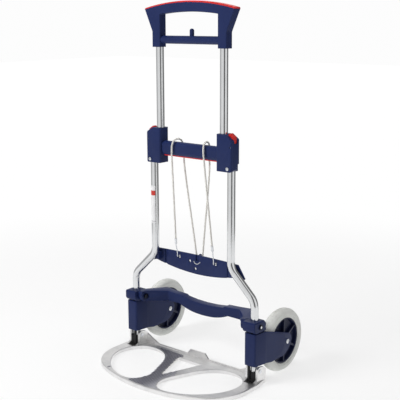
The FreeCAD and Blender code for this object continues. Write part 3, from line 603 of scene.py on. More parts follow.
# ------------------------------------------------------------------ pieces
class Shop:
    """Turns meshes into pieces and dresses them."""

    weld: float = 1e-6
    flat_within: float = 0.012
    bevel_over: float = math.radians(34)
    sharp_over: float = math.radians(38)

    def __init__(self, finishes: dict[Slot, Any]) -> None:
        """Builds one material for each slot."""
        self.finish = {slot: recipe.material() for slot, recipe in finishes.items()}

    def object_from(self, name: str, data: bpy.types.ID) -> bpy.types.Object:
        """Links a mesh or curve to the scene as an object at the origin.

        Args:
            name: the object's name.
            data: its mesh or curve.

        Returns:
            The object.
        """
        item = bpy.data.objects.new(name, data)
        bpy.context.scene.collection.objects.link(item)
        return item

    def dress(self, node: str, slot: Slot,
              material: Optional[bpy.types.Material] = None) -> None:
        """Gives a carried-over node its finish.

        Args:
            node: the node's name.
            slot: the record's slot that it belongs to.
            material: a finish of its own, else the slot's.
        """
        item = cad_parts[node]
        item.material_slots[0].material = material or self.finish[slot]
        log.info("dressed %s in %s", node, slot.value)

    def hand_over(self, item: bpy.types.Object, body: str, slot: Slot, *nodes: str,
                  material: Optional[bpy.types.Material] = None) -> bpy.types.Object:
        """Dresses a finished piece and hangs it on its body.

        Args:
            item: the piece.
            body: the body that it moves with.
            slot: the record's slot that it belongs to.
            nodes: the nodes that it stands for.
            material: a finish of its own, else the slot's.

        Returns:
            The piece.
        """
        item.data.materials.clear()
        item.data.materials.append(material or self.finish[slot])
        if nodes:
            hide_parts(*nodes)
        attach(item, body)
        log.info("%s rides on %s, %d faces", item.name, body, len(item.data.polygons))
        return item

    def settle(self, item: bpy.types.Object, crease: float = 0.6) -> bpy.types.Object:
        """Applies every modifier, then shades the mesh smooth between creases.

        Args:
            item: an object with live modifiers.
            crease: angle in radians over which an edge stays sharp.

        Returns:
            The same object with a plain mesh.
        """
        graph = bpy.context.evaluated_depsgraph_get()
        mesh = bpy.data.meshes.new_from_object(item.evaluated_get(graph))
        item.modifiers.clear()
        item.data = mesh
        mesh.shade_smooth()
        mesh.set_sharp_from_angle(angle=crease)
        return item

    def copy_of(self, node: str, name: str) -> bpy.types.Object:
        """A merged, cleaned copy of a node, its flat faces made whole.

        Args:
            node: the node to copy.
            name: the copy's name.

        Returns:
            The new object.
        """
        work = bmesh.new()
        work.from_mesh(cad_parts[node].data)
        bmesh.ops.remove_doubles(work, verts=work.verts[:], dist=self.weld)
        bmesh.ops.dissolve_limit(work, angle_limit=self.flat_within, verts=work.verts[:],
                                 edges=work.edges[:])
        mesh = bpy.data.meshes.new(name)
        work.to_mesh(mesh)
        work.free()
        for key in ("custom_normal", "sharp_edge", "sharp_face"):
            if key in mesh.attributes:
                mesh.attributes.remove(mesh.attributes[key])
        mesh.materials.clear()
        return self.object_from(name, mesh)

    def softened(self, node: str, name: str, width: float, steps: int = 2) -> bpy.types.Object:
        """A copy of a moulding whose sharp edges are rounded a little.

        Args:
            node: the node to copy.
            name: the piece's name.
            width: width of the rounding.
            steps: segments across it.

        Returns:
            The new object.
        """
        item = self.copy_of(node, name)
        bevel = item.modifiers.new("soft_edges", "BEVEL")
        bevel.width, bevel.segments = width, steps
        bevel.limit_method, bevel.angle_limit = "ANGLE", self.bevel_over
        bevel.use_clamp_overlap = True
        bevel.miter_outer = "MITER_ARC"
        bevel.harden_normals = False
        return self.settle(item, self.sharp_over)


class Pattern(Graph):
    """A Geometry Nodes tree with named inputs, closed by Realize Instances and Set Material."""

    def __init__(self, name: str, **inputs: tuple[str, Any]) -> None:
        """Makes the tree's interface.

        Args:
            name: the tree's name.
            inputs: socket kind and value by input name.
        """
        tree = bpy.data.node_groups.new(name, "GeometryNodeTree")
        super().__init__(tree)
        tree.interface.new_socket("Geometry", in_out="INPUT", socket_type="NodeSocketGeometry")
        self.keys: dict[str, str] = {}
        self.values: dict[str, Any] = {}
        for label, (kind, value) in inputs.items():
            socket = tree.interface.new_socket(label, in_out="INPUT",
                                               socket_type="NodeSocket" + kind)
            self.keys[label], self.values[label] = socket.identifier, value
        tree.interface.new_socket("Geometry", in_out="OUTPUT", socket_type="NodeSocketGeometry")
        self.entry = self.add("NodeGroupInput").outputs

    def maths(self, operation: str, first: Any, second: Any) -> bpy.types.NodeSocket:
        """One Math node on numbers or sockets."""
        node = self.add("ShaderNodeMath", {"operation": operation}, {0: first, 1: second})
        return node.outputs[0]

    def vector(self, x: Any = 0.0, y: Any = 0.0, z: Any = 0.0) -> bpy.types.NodeSocket:
        """A vector from three numbers or sockets."""
        return self.add("ShaderNodeCombineXYZ", None, {0: x, 1: y, 2: z}).outputs[0]

    def moved(self, geometry: Any, shift: Any = (0, 0, 0), turn: Point = (0, 0, 0),
              scale: Any = (1, 1, 1)) -> bpy.types.NodeSocket:
        """Shifts, turns and scales some geometry.

        Args:
            geometry: what is moved.
            shift: how far.
            turn: angles about the axes, in radians.
            scale: factors along the axes.

        Returns:
            The moved geometry.
        """
        return self.add("GeometryNodeTransform", None, {
            "Geometry": geometry, "Translation": shift, "Rotation": turn,
            "Scale": scale}).outputs[0]

    def joined(self, *parts: Any) -> bpy.types.NodeSocket:
        """Several geometries as one.

        Args:
            parts: their sockets.

        Returns:
            The joined geometry.
        """
        node = self.add("GeometryNodeJoinGeometry")
        for part in reversed(parts):
            self.tree.links.new(part, node.inputs[0])
        return node.outputs[0]

    def attribute(self, name: str, kind: str) -> bpy.types.NodeSocket:
        """A named attribute of the seeds."""
        node = self.add("GeometryNodeInputNamedAttribute", {"data_type": kind}, {"Name": name})
        return node.outputs[0]

    def round_wire(self, path: Any, radius: Any, sides: int) -> bpy.types.NodeSocket:
        """A round wire with closed ends along a path.

        Args:
            path: the curve to follow.
            radius: half the wire's thickness.
            sides: corners round the wire.

        Returns:
            The wire's mesh.
        """
        section = self.add("GeometryNodeCurvePrimitiveCircle", None, {
            "Resolution": sides, "Radius": radius}).outputs[0]
        return self.add("GeometryNodeCurveToMesh", None, {
            "Curve": path, "Profile Curve": section, "Fill Caps": True}).outputs[0]

    def close(self, geometry: Any, material: bpy.types.Material) -> None:
        """Ends the tree.

        Args:
            geometry: the finished geometry.
            material: the finish that it leaves with.
        """
        real = self.add("GeometryNodeRealizeInstances", None, {"Geometry": geometry})
        paint = self.add("GeometryNodeSetMaterial", None, {
            "Geometry": real.outputs[0], "Material": material})
        self.add("NodeGroupOutput", None, {"Geometry": paint.outputs[0]})

    def bake(self, shop: Shop, name: str, seeds: bpy.types.Mesh,
             crease: float = 0.6) -> bpy.types.Object:
        """Runs the tree on seed geometry and keeps the plain mesh.

        Args:
            shop: where the object is made.
            name: the piece's name.
            seeds: mesh whose points or edges the tree starts from.
            crease: angle over which an edge stays sharp.

        Returns:
            The new object.
        """
        item = shop.object_from(name, seeds)
        modifier = item.modifiers.new(name, "NODES")
        modifier.node_group = self.tree
        for label, key in self.keys.items():
            modifier[key] = self.values[label]
        return shop.settle(item, crease)


def seeds_at(name: str, points: Sequence[Point],
             **attributes: tuple[str, Sequence[Any]]) -> bpy.types.Mesh:
    """Loose points with attributes, for a pattern to start from.

    Args:
        name: the mesh's name.
        points: the places.
        attributes: data type and one value for each point, by name.

    Returns:
        The mesh.
    """
    mesh = bpy.data.meshes.new(name)
    mesh.from_pydata([tuple(p) for p in points], [], [])
    for key, (kind, values) in attributes.items():
        layer = mesh.attributes.new(key, kind, "POINT")
        for slot, value in zip(layer.data, values):
            setattr(slot, "vector" if kind == "FLOAT_VECTOR" else "value", value)
    return mesh


def seeds_along(name: str, points: Sequence[Point], closed: bool = False) -> bpy.types.Mesh:
    """A line of joined points, for a pattern to follow.

    Args:
        name: the mesh's name.
        points: the places, in order.
        closed: whether the last point joins the first.

    Returns:
        The mesh.
    """
    count = len(points)
    edges = [(k, (k + 1) % count) for k in range(count if closed else count - 1)]
    mesh = bpy.data.meshes.new(name)
    mesh.from_pydata([tuple(p) for p in points], edges, [])
    return mesh


def extruded(outline: Sequence[tuple[float, float]], low: float, high: float) -> bmesh.types.BMesh:
    """A plate drawn in the YZ plane and given its thickness along X.

    Args:
        outline: (y, z) corners, in order.
        low: its one side.
        high: its other side.

    Returns:
        The closed mesh.
    """
    work = bmesh.new()
    rings = [[work.verts.new((x, y, z)) for y, z in outline] for x in (low, high)]
    count = len(outline)
    for k in range(count):
        n = (k + 1) % count
        work.faces.new((rings[0][k], rings[0][n], rings[1][n], rings[1][k]))
    work.faces.new(rings[0][::-1])
    work.faces.new(rings[1])
    bmesh.ops.recalc_face_normals(work, faces=work.faces[:])
    return work


# ------------------------------------------------------------------ fasteners
@dataclass
class Fasteners:
    """Domed heads with a cross recess, set into the mouldings."""

    shop: Shop
    radius: float = 0.0052
    rise: float = 0.0026
    recess: float = 0.0011
    sunk: float = 0.0012
    cap_size: float = 1.1
    arm_length: float = 1.15
    arm_depth: float = 1.3
    arm_lift: float = 1.1

    def tree(self) -> Pattern:
        """One tree for every group of screws.

        Returns:
            The tree.
        """
        p = Pattern("cross_heads", Radius=("Float", self.radius), Rise=("Float", self.rise),
                    Recess=("Float", self.recess))
        radius, rise, recess = (p.entry[k] for k in ("Radius", "Rise", "Recess"))
        ball = p.add("GeometryNodeMeshUVSphere", None, {
            "Segments": 32, "Rings": 16, "Radius": 1.0}).outputs[0]
        head = p.moved(ball, scale=p.vector(radius, radius, rise))
        lift = p.vector(0.0, 0.0, p.maths("MULTIPLY", rise, self.arm_lift))
        long = p.maths("MULTIPLY", radius, self.arm_length)
        deep = p.maths("MULTIPLY", rise, self.arm_depth)
        for size in (p.vector(long, recess, deep), p.vector(recess, long, deep)):
            arm = p.moved(p.add("GeometryNodeMeshCube", None, {"Size": size}).outputs[0], lift)
            cut = p.add("GeometryNodeMeshBoolean", {"operation": "DIFFERENCE", "solver": "EXACT"},
                        {"Mesh 1": head, "Mesh 2": arm})
            head = cut.outputs[0]
        turn = p.add("FunctionNodeAlignRotationToVector", {"axis": "Z"},
                     {"Vector": p.attribute("facing", "FLOAT_VECTOR")}).outputs[0]
        heads = p.add("GeometryNodeInstanceOnPoints", None, {
            "Points": p.entry["Geometry"], "Instance": head, "Rotation": turn,
            "Scale": p.attribute("size", "FLOAT")}).outputs[0]
        p.close(heads, self.shop.finish[Slot.ZINC])
        return p

    def fit(self, tree: Pattern, name: str, body: str, spots: Sequence[tuple[Point, Point, float]],
            *nodes: str) -> None:
        """Sets heads at some spots.

        Args:
            tree: the tree of heads.
            name: the piece's name.
            body: the body that it moves with.
            spots: (place, facing, size) of each head.
            nodes: the nodes that the heads stand for.
        """
        places, facings, sizes = zip(*spots)
        seeds = seeds_at(name, places, facing=("FLOAT_VECTOR", facings), size=("FLOAT", sizes))
        self.shop.hand_over(tree.bake(self.shop, name, seeds), body, Slot.ZINC, *nodes)

    def build(self) -> None:
        """Heads on the brackets, the handle sockets and the axles."""
        tree = self.tree()
        for node, body, out in (("bracket_screws", "frame", -1), ("handle_screws", "handle", 1)):
            low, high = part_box(node)
            middle, head = (low.z + high.z) / 2, (high.z - low.z) / 2
            seat = high.y - self.sunk if out > 0 else low.y + self.sunk
            reach = (high.x - low.x) / 2 - head
            spots = [((sign * reach, seat, middle), (0, out, 0), head / self.radius)
                     for _, sign in SIDES]
            self.fit(tree, node.replace("screws", "screw_heads"), body, spots, node)
        for side, _ in SIDES:
            low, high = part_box(f"{side}_axle")
            y, z = (low.y + high.y) / 2, (low.z + high.z) / 2
            spots = [((low.x + self.sunk, y, z), (-1, 0, 0), self.cap_size),
                     ((high.x - self.sunk, y, z), (1, 0, 0), self.cap_size)]
            self.fit(tree, f"{side}_axle_caps", f"{side}_wheel_fork", spots)


# ------------------------------------------------------------------ mouldings
@dataclass
class Mouldings:
    """Navy, red and black mouldings with softened edges."""

    shop: Shop
    edge: float = 0.0010
    pieces: dict[str, tuple[str, Slot, float]] = field(default_factory=lambda: {
        "left_mid_bracket": ("frame", Slot.NAVY, 1.0),
        "right_mid_bracket": ("frame", Slot.NAVY, 1.0),
        "left_collar": ("frame", Slot.NAVY, 1.2),
        "right_collar": ("frame", Slot.NAVY, 1.2),
        "spreader_bar": ("spreader", Slot.NAVY, 1.3),
        "load_panel": ("frame", Slot.NAVY, 0.7),
        "left_release_lever": ("left_lever", Slot.RED, 0.7),
        "right_release_lever": ("right_lever", Slot.RED, 0.7),
        "left_foot": ("frame", Slot.BLACK, 0.7),
        "right_foot": ("frame", Slot.BLACK, 0.7),
    })

    def build(self) -> None:
        """Softens each moulding and dresses the rest."""
        for node, (body, slot, share) in self.pieces.items():
            item = self.shop.softened(node, f"{node}_moulding", self.edge * share)
            self.shop.hand_over(item, body, slot, node)
        for node in ("carry_bar", "handle_frame"):
            self.shop.dress(node, Slot.NAVY)
        for node in ("carry_bar_insert", "grip_strip"):
            self.shop.dress(node, Slot.RED)
        for side, _ in SIDES:
            for part in ("fold_link", "guide_bush", "tube_plug", "fork_bush", "wheel_bush"):
                self.shop.dress(f"{side}_{part}", Slot.BLACK)


@dataclass
class Forks:
    """Wheel forks with a raised skin on each cheek that ends in an arc before the axle."""

    shop: Shop
    skin: float = 0.0014
    edge: float = 0.0013
    flat: float = 0.0430
    slope: float = 0.045
    sunk: float = 0.001
    under: float = 0.0002
    bottom_run: float = 0.028
    bottom_rises: tuple[float, float] = (0.008, 0.0045)
    top_drop: float = 0.006
    arc_place: tuple[float, float] = (-0.068, 0.010)
    arc_size: tuple[float, float] = (0.055, 0.046)
    arc_from: float = -58.0
    arc_sweep: float = 80.0
    arc_steps: int = 14
    same_plane: float = 1e-7

    def skin_outline(self, low: Vector, high: Vector,
                     axle: tuple[float, float]) -> list[tuple[float, float]]:
        """Corners of the raised skin, in the YZ plane.

        Args:
            low: the fork's lowest corner.
            high: the fork's highest corner.
            axle: (y, z) of the axle.

        Returns:
            The corners, in order.
        """
        centre = [place + shift for place, shift in zip(axle, self.arc_place)]
        wide, tall = self.arc_size
        front = low.y + self.flat
        start, end = (low.z + rise for rise in self.bottom_rises)
        outline = [(front, start), (front + self.bottom_run, end)]
        for step in range(self.arc_steps + 1):
            turn = math.radians(self.arc_from + step * self.arc_sweep / self.arc_steps)
            outline.append((centre[0] + wide * math.cos(turn), centre[1] + tall * math.sin(turn)))
        return outline + [(front, high.z - self.top_drop)]

    def cheek(self, outline: Sequence[tuple[float, float]], face: float, out: int,
              knuckle: float) -> bpy.types.Mesh:
        """The raised skin on one cheek, sinking into it towards the fork's knuckle.

        Args:
            outline: the skin's corners.
            face: place of the cheek along X.
            out: which way the cheek faces, -1 or 1.
            knuckle: the fork's lowest place along Y.

        Returns:
            The skin's mesh.
        """
        plate = extruded(outline, *sorted((face - out * self.sunk, face + out * self.skin)))
        for vert in plate.verts:
            if abs(vert.co.x - face - out * self.skin) < self.same_plane:
                rise = min(1.0, (vert.co.y - knuckle - self.flat) / self.slope)
                vert.co.x = face + out * (self.skin * rise - self.under * (1 - rise))
        mesh = bpy.data.meshes.new("skin")
        plate.to_mesh(mesh)
        plate.free()
        return mesh

    def build(self) -> None:
        """Makes both forks."""
        for side, _ in SIDES:
            node = f"{side}_fork"
            low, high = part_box(node)
            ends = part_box(f"{side}_axle")
            axle = ((ends[0].y + ends[1].y) / 2, (ends[0].z + ends[1].z) / 2)
            item = self.shop.softened(node, f"{node}_moulding", self.edge, steps=3)
            work = bmesh.new()
            work.from_mesh(item.data)
            outline = self.skin_outline(low, high, axle)
            for face, out in ((low.x, -1), (high.x, 1)):
                mesh = self.cheek(outline, face, out, low.y)
                work.from_mesh(mesh)
                bpy.data.meshes.remove(mesh)
            work.to_mesh(item.data)
            work.free()
            item.data.shade_smooth()
            item.data.set_sharp_from_angle(angle=self.shop.sharp_over)
            self.shop.hand_over(item, f"{side}_wheel_fork", Slot.NAVY, node)


# ------------------------------------------------------------------ wheels
@dataclass
class Wheels:
    """Solid tyres turned from one profile, on ribbed rims."""

    shop: Shop
    turns: int = 128
    inner_share: float = 0.722
    rim_edge: float = 0.0006
    crease: float = 0.75
    bead: tuple[tuple[float, float], ...] = (
        (0.0, 0.0030), (0.0016, 0.0012), (0.0042, 0.0004), (0.0050, 0.0012), (0.0060, 0.0012),
        (0.0070, 0.0))
    shoulder: tuple[tuple[float, float], ...] = (
        (0.0105, 0.0), (0.0085, 0.0004), (0.0050, 0.0022), (0.0026, 0.0056), (0.0010, 0.0085),
        (0.0002, 0.0110), (0.0, 0.0122))
    seam: tuple[tuple[float, float], ...] = ((0.0, 0.0012), (0.0006, 0.0004))

    def profile(self, radius: float, half: float) -> list[tuple[float, float]]:
        """Half section of a tyre, mirrored into a closed outline.

        Args:
            radius: the tyre's radius.
            half: half its width.

        Returns:
            (radius, offset) corners, in order.
        """
        inner = radius * self.inner_share
        upper = [(inner + out, half - drop) for out, drop in self.bead]
        upper += [(radius - dip, half - drop) for dip, drop in self.shoulder]
        upper += [(radius - dip, offset) for dip, offset in self.seam]
        return upper + [(r, -x) for r, x in reversed(upper)]

    def tree(self, radius: float, rubber: bpy.types.Material) -> Pattern:
        """Turns a profile about the wheel's axle.

        Args:
            radius: the tyre's radius.
            rubber: its finish.

        Returns:
            The tree.
        """
        p = Pattern("turned_tyre", Radius=("Float", radius), Turns=("Int", self.turns))
        ring = p.add("GeometryNodeCurvePrimitiveCircle", None, {
            "Resolution": p.entry["Turns"], "Radius": p.entry["Radius"]}).outputs[0]
        section = p.add("GeometryNodeMeshToCurve", None, {"Mesh": p.entry["Geometry"]}).outputs[0]
        skin = p.add("GeometryNodeCurveToMesh", None, {
            "Curve": ring, "Profile Curve": section}).outputs[0]
        p.close(p.moved(skin, turn=(0, math.pi / 2, 0)), rubber)
        return p

    def build(self) -> None:
        """Makes both wheels."""
        for side, _ in SIDES:
            low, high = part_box(f"{side}_tyre")
            centre, radius = (low + high) / 2, (high.z - low.z) / 2
            corners = self.profile(radius, (high.x - low.x) / 2)
            seeds = seeds_along(f"{side}_tyre_section",
                                [(r - radius, x, 0.0) for r, x in corners], closed=True)
            rubber = SolidTyre(f"{side}_tyre_rubber", tuple(centre), radius).material()
            item = self.tree(radius, rubber).bake(self.shop, f"{side}_solid_tyre", seeds,
                                                  self.crease)
            work = bmesh.new()
            work.from_mesh(item.data)
            bmesh.ops.transform(work, matrix=Matrix.Translation(centre), verts=work.verts[:])
            bmesh.ops.recalc_face_normals(work, faces=work.faces[:])
            work.to_mesh(item.data)
            work.free()
            self.shop.hand_over(item, f"{side}_wheel", Slot.TYRE, f"{side}_tyre", material=rubber)
            rim = self.shop.softened(f"{side}_rim", f"{side}_ribbed_rim", self.rim_edge)
            self.shop.hand_over(rim, f"{side}_wheel", Slot.RIM, f"{side}_rim")


# ------------------------------------------------------------------ toe plate
@dataclass
class ToePlate:
    """Cast plate with a ribbed grip surface on its middle webs."""

    shop: Shop
    pitch: float = 0.0063
    ridge: float = 0.0025
    height: float = 0.0007
    margin: float = 0.0030
    shortest: float = 0.006
    step: float = 0.0010
    waist: float = -0.101
    top: float = 0.012
    half_width: float = 0.16
    look_from: float = 0.2
    bare_rear: float = 0.016
    right_edge: float = 0.030
    flare_front: float = 0.28
    flare_rear: float = 0.62
    left_edge: float = -0.155
    front_strip: float = 0.030
    left_edge_front: float = -0.048
    # painted shade: thickness of the dark sheet laid between the ridges
    shade_sheet: float = 0.0004
    bright_from: float = 0.01235
    crease: float = 0.5
    level_within: float = 2e-4
    upright: float = 0.99

    def ribbed(self, x: float, y: float, low: Vector, high: Vector) -> bool:
        """True where the plate carries ribs.

        Args:
            x: place across the plate.
            y: place along the plate.
            low: the plate's lowest corner.
            high: the plate's highest corner.

        Returns:
            Whether a rib may stand there.
        """
        if high.y - y < self.bare_rear:
            return False
        flare = self.flare_front if y < self.waist else self.flare_rear
        right = self.right_edge + (self.waist - y) * flare
        left = self.left_edge_front if y < low.y + self.front_strip else self.left_edge
        return left < x < right

    def seeds(self, item: bpy.types.Object) -> bpy.types.Mesh:
        """Middle point and length of every rib, found on the plate's flat top.

        Args:
            item: the plate.

        Returns:
            The seeds, with their lengths.
        """
        tree = BVHTree.FromObject(item, bpy.context.evaluated_depsgraph_get())
        low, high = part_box("toe_plate")
        reach = int(self.half_width / self.pitch)
        points, lengths = [], []
        for column in range(-reach, reach + 1):
            x = column * self.pitch
            start: Optional[float] = None
            for row in range(int((high.y - low.y) / self.step) + 2):
                y = low.y + row * self.step
                above = Vector((x, y, self.look_from))
                spot, normal, _, _ = tree.ray_cast(above, Vector((0, 0, -1)))
                flat = (spot is not None and abs(spot.z - self.top) < self.level_within
                        and normal.z > self.upright)
                if flat and self.ribbed(x, y, low, high):
                    start = y if start is None else start
                elif start is not None:
                    length = y - start - 2 * self.margin
                    if length > self.shortest:
                        points.append((x, (y + start) / 2, self.top))
                        lengths.append(length)
                    start = None
        return seeds_at("rib_seeds", points, length=("FLOAT", lengths))

    def tree(self, metal: bpy.types.Material) -> Pattern:
        """A thin sheet painted dark as shade between the ridges, with one ridge along its middle,
        on every seed.

        Args:
            metal: the ribs' finish.

        Returns:
            The tree.
        """
        p = Pattern("grip_ribs", Pitch=("Float", self.pitch), Ridge=("Float", self.ridge),
                    Height=("Float", self.height))
        pitch, ridge, height = (p.entry[k] for k in ("Pitch", "Ridge", "Height"))
        # painted shade: the sheet lies under the ridges and takes the dark valley colour, standing
        # in for the shade between them
        shade_sheet, bar = (p.add("GeometryNodeMeshCube", None, {"Size": size}).outputs[0]
                    for size in (p.vector(pitch, 1.0, self.shade_sheet), p.vector(ridge, 1.0, height)))
        strip = p.joined(shade_sheet, p.moved(bar, p.vector(z=p.maths("MULTIPLY", height, 0.5))))
        ribs = p.add("GeometryNodeInstanceOnPoints", None, {
            "Points": p.entry["Geometry"], "Instance": strip,
            "Scale": p.vector(1.0, p.attribute("length", "FLOAT"), 1.0)}).outputs[0]
        p.close(ribs, metal)
        return p

    def build(self) -> None:
        """Makes the plate and its ribs."""
        dark = RibbedCast("grip_rib_metal", self.bright_from).material()
        seeds = self.seeds(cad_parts["toe_plate"])
        ribs = self.tree(dark).bake(self.shop, "toe_plate_ribs", seeds, self.crease)
        self.shop.dress("toe_plate", Slot.CAST)
        self.shop.hand_over(ribs, "toe", Slot.CAST, material=dark)


# ------------------------------------------------------------------ cord
@dataclass
class ElasticCord:
    """Taut elastic cord with a wire hook at each end."""

    shop: Shop
    diameter: float = 0.005
    length: float = 1.331
    around: int = 12
    smooth: int = 16
    left_route: tuple[Point, ...] = (
        (-0.066, 0.012, 0.360), (-0.057, -0.013, 0.610), (-0.0555, -0.013, 0.636),
        (-0.053, -0.003, 0.648), (-0.050, 0.016, 0.648), (-0.047, 0.026, 0.634),
        (-0.044, 0.026, 0.606), (-0.013, 0.038, 0.327), (-0.009, 0.0385, 0.304))
    straight: dict[int, tuple[Point, ...]] = field(default_factory=lambda: {
        1: ((-0.06492, 0.0090, 0.390), (-0.0581, -0.0100, 0.580)),
        7: ((-0.04735, 0.02729, 0.576), (-0.01633, 0.03671, 0.357))})

    def route(self) -> list[Point]:
        """The whole route, with the points that keep the long stretches straight.

        Returns:
            Its points, from the left hook to the right one.
        """
        left: list[Point] = []
        for index, point in enumerate(self.left_route):
            left += self.straight.get(index, ())
            left.append(point)
        return left + [(-x, y, z) for x, y, z in reversed(left)]

    def centre_line(self) -> list[Vector]:
        """Points read along the smooth curve of the route.

        Returns:
            The points, in order.
        """
        curve = bpy.data.curves.new("cord_route", "CURVE")
        curve.dimensions, curve.resolution_u = "3D", self.smooth
        spline = curve.splines.new("NURBS")
        route = self.route()
        spline.points.add(len(route) - 1)
        for spot, point in zip(spline.points, route):
            spot.co = (*point, 1.0)
        spline.order_u, spline.use_endpoint_u = 3, True
        item = self.shop.object_from("cord_route", curve)
        graph = bpy.context.evaluated_depsgraph_get()
        mesh = bpy.data.meshes.new_from_object(item.evaluated_get(graph))
        line = [v.co.copy() for v in mesh.vertices]
        bpy.data.objects.remove(item)
        return line

    def sleeve(self, line: list[Vector]) -> bpy.types.Mesh:
        """A closed tube round the line with its own UV map of turns and metres.

        Args:
            line: the middle of the cord.

        Returns:
            The tube's mesh.
        """
        work = bmesh.new()
        uv = work.loops.layers.uv.new("UVMap")
        rings, run, travelled = [], [], 0.0
        side = Vector((0, 1, 0))
        for k, point in enumerate(line):
            ahead = (line[min(k + 1, len(line) - 1)] - line[max(k - 1, 0)]).normalized()
            side = (side - ahead * side.dot(ahead)).normalized()
            other = ahead.cross(side)
            travelled += (point - line[k - 1]).length if k else 0.0
            run.append(travelled)
            ring = []
            for j in range(self.around):
                turn = 2 * math.pi * j / self.around
                out = side * math.cos(turn) + other * math.sin(turn)
                ring.append(work.verts.new(point + out * self.diameter / 2))
            rings.append(ring)
        for k in range(len(rings) - 1):
            for j in range(self.around):
                n = (j + 1) % self.around
                face = work.faces.new((rings[k][j], rings[k][n], rings[k + 1][n], rings[k + 1][j]))
                corners = ((j, k), (j + 1, k), (j + 1, k + 1), (j, k + 1))
                for loop, (turn, row) in zip(face.loops, corners):
                    loop[uv].uv = (turn / self.around, run[row])
        work.faces.new(rings[0][::-1])
        work.faces.new(rings[-1])
        bmesh.ops.recalc_face_normals(work, faces=work.faces[:])
        mesh = bpy.data.meshes.new("elastic_cord_sleeve")
        work.to_mesh(mesh)
        work.free()
        mesh.shade_smooth()
        return mesh

    def build(self) -> None:
        """Makes the cord and dresses its hooks."""
        line = self.centre_line()
        item = self.shop.object_from("elastic_cord_sleeve", self.sleeve(line))
        self.shop.hand_over(item, "frame", Slot.CORD, "elastic_cord")
        for side, _ in SIDES:
            self.shop.dress(f"{side}_cord_hook", Slot.ZINC)


# ------------------------------------------------------------------ tubes and small metal
@dataclass
class Metalwork:
    """Tubes, pins, rivets, bolts, springs and the label on the left tube."""

    shop: Shop
    coils: float = 6.5
    coil_radius: float = 0.0025
    coil_wire: float = 0.00045
    coil_gap: float = 0.0005
    clip_wire: float = 0.0013
    clip_front: float = 0.0275
    clip_drop: float = 0.001
    clip_shape: tuple[tuple[float, float], ...] = (
        (-0.0115, 0.0185), (-0.0100, 0.0230), (-0.0065, 0.0255), (-0.0015, 0.0262),
        (0.0030, 0.0250), (0.0115, 0.0180))

    def spring_tree(self, height: float) -> Pattern:
        """A coil spring drawn as a spiral with a round wire.

        Args:
            height: the spring's height.

        Returns:
            The tree.
        """
        p = Pattern("lever_coil", Coils=("Float", self.coils), Radius=("Float", self.coil_radius),
                    Wire=("Float", self.coil_wire), Height=("Float", height))
        spiral = p.add("GeometryNodeCurveSpiral", None, {
            "Resolution": 20, "Rotations": p.entry["Coils"], "Start Radius": p.entry["Radius"],
            "End Radius": p.entry["Radius"], "Height": p.entry["Height"]}).outputs[0]
        coil = p.round_wire(spiral, p.entry["Wire"], sides=8)
        coils = p.add("GeometryNodeInstanceOnPoints", None, {
            "Points": p.entry["Geometry"], "Instance": coil}).outputs[0]
        p.close(coils, self.shop.finish[Slot.ZINC])
        return p

    def panel_clip(self) -> None:
        """Bent wire set into the front of the load panel, under the notch in its top."""
        p = Pattern("bent_wire", Wire=("Float", self.clip_wire))
        line = p.add("GeometryNodeMeshToCurve", None, {"Mesh": p.entry["Geometry"]}).outputs[0]
        p.close(p.round_wire(line, p.entry["Wire"], sides=10), self.shop.finish[Slot.ZINC])
        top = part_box("load_panel")[1].z - self.clip_drop
        seeds = seeds_along("clip_line",
                            [(x, self.clip_front, top - drop) for x, drop in self.clip_shape])
        self.shop.hand_over(p.bake(self.shop, "panel_wire_clip", seeds), "frame", Slot.ZINC)

    def build(self) -> None:
        """Dresses the metal and winds the springs."""
        for side, _ in SIDES:
            for part in ("lower_tube", "upper_tube"):
                self.shop.dress(f"{side}_{part}", Slot.TUBE)
            self.shop.dress(f"{side}_axle", Slot.ZINC)
            low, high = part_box(f"{side}_lever_spring")
            tree = self.spring_tree(high.z - low.z - 2 * self.coil_gap)
            seat = ((low.x + high.x) / 2, (low.y + high.y) / 2, low.z + self.coil_gap)
            coil = tree.bake(self.shop, f"{side}_lever_coil", seeds_at("spring_seat", [seat]))
            self.shop.hand_over(coil, "frame", Slot.ZINC, f"{side}_lever_spring")
            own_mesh(coil)
        for node in ("lever_pins", "panel_rivets", "toe_hinge_pins", "fork_clips"):
            self.shop.dress(node, Slot.ZINC)
        low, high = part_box("collar_bolts")
        centre = (0.0, (low.y + high.y) / 2, (low.z + high.z) / 2)
        self.shop.dress("collar_bolts", Slot.ZINC,
                        BoltMetal("collar_bolt_metal", centre).material())
        self.panel_clip()
        low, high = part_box("tube_label")
        self.shop.dress("tube_label", Slot.LABEL,
                        Sticker("blank_sticker", low.z, high.z).material())


# ------------------------------------------------------------------ studio
@dataclass(frozen=True)
class Lamp:
    """One soft light."""

    place: Point
    size: tuple[float, float]
    power: float


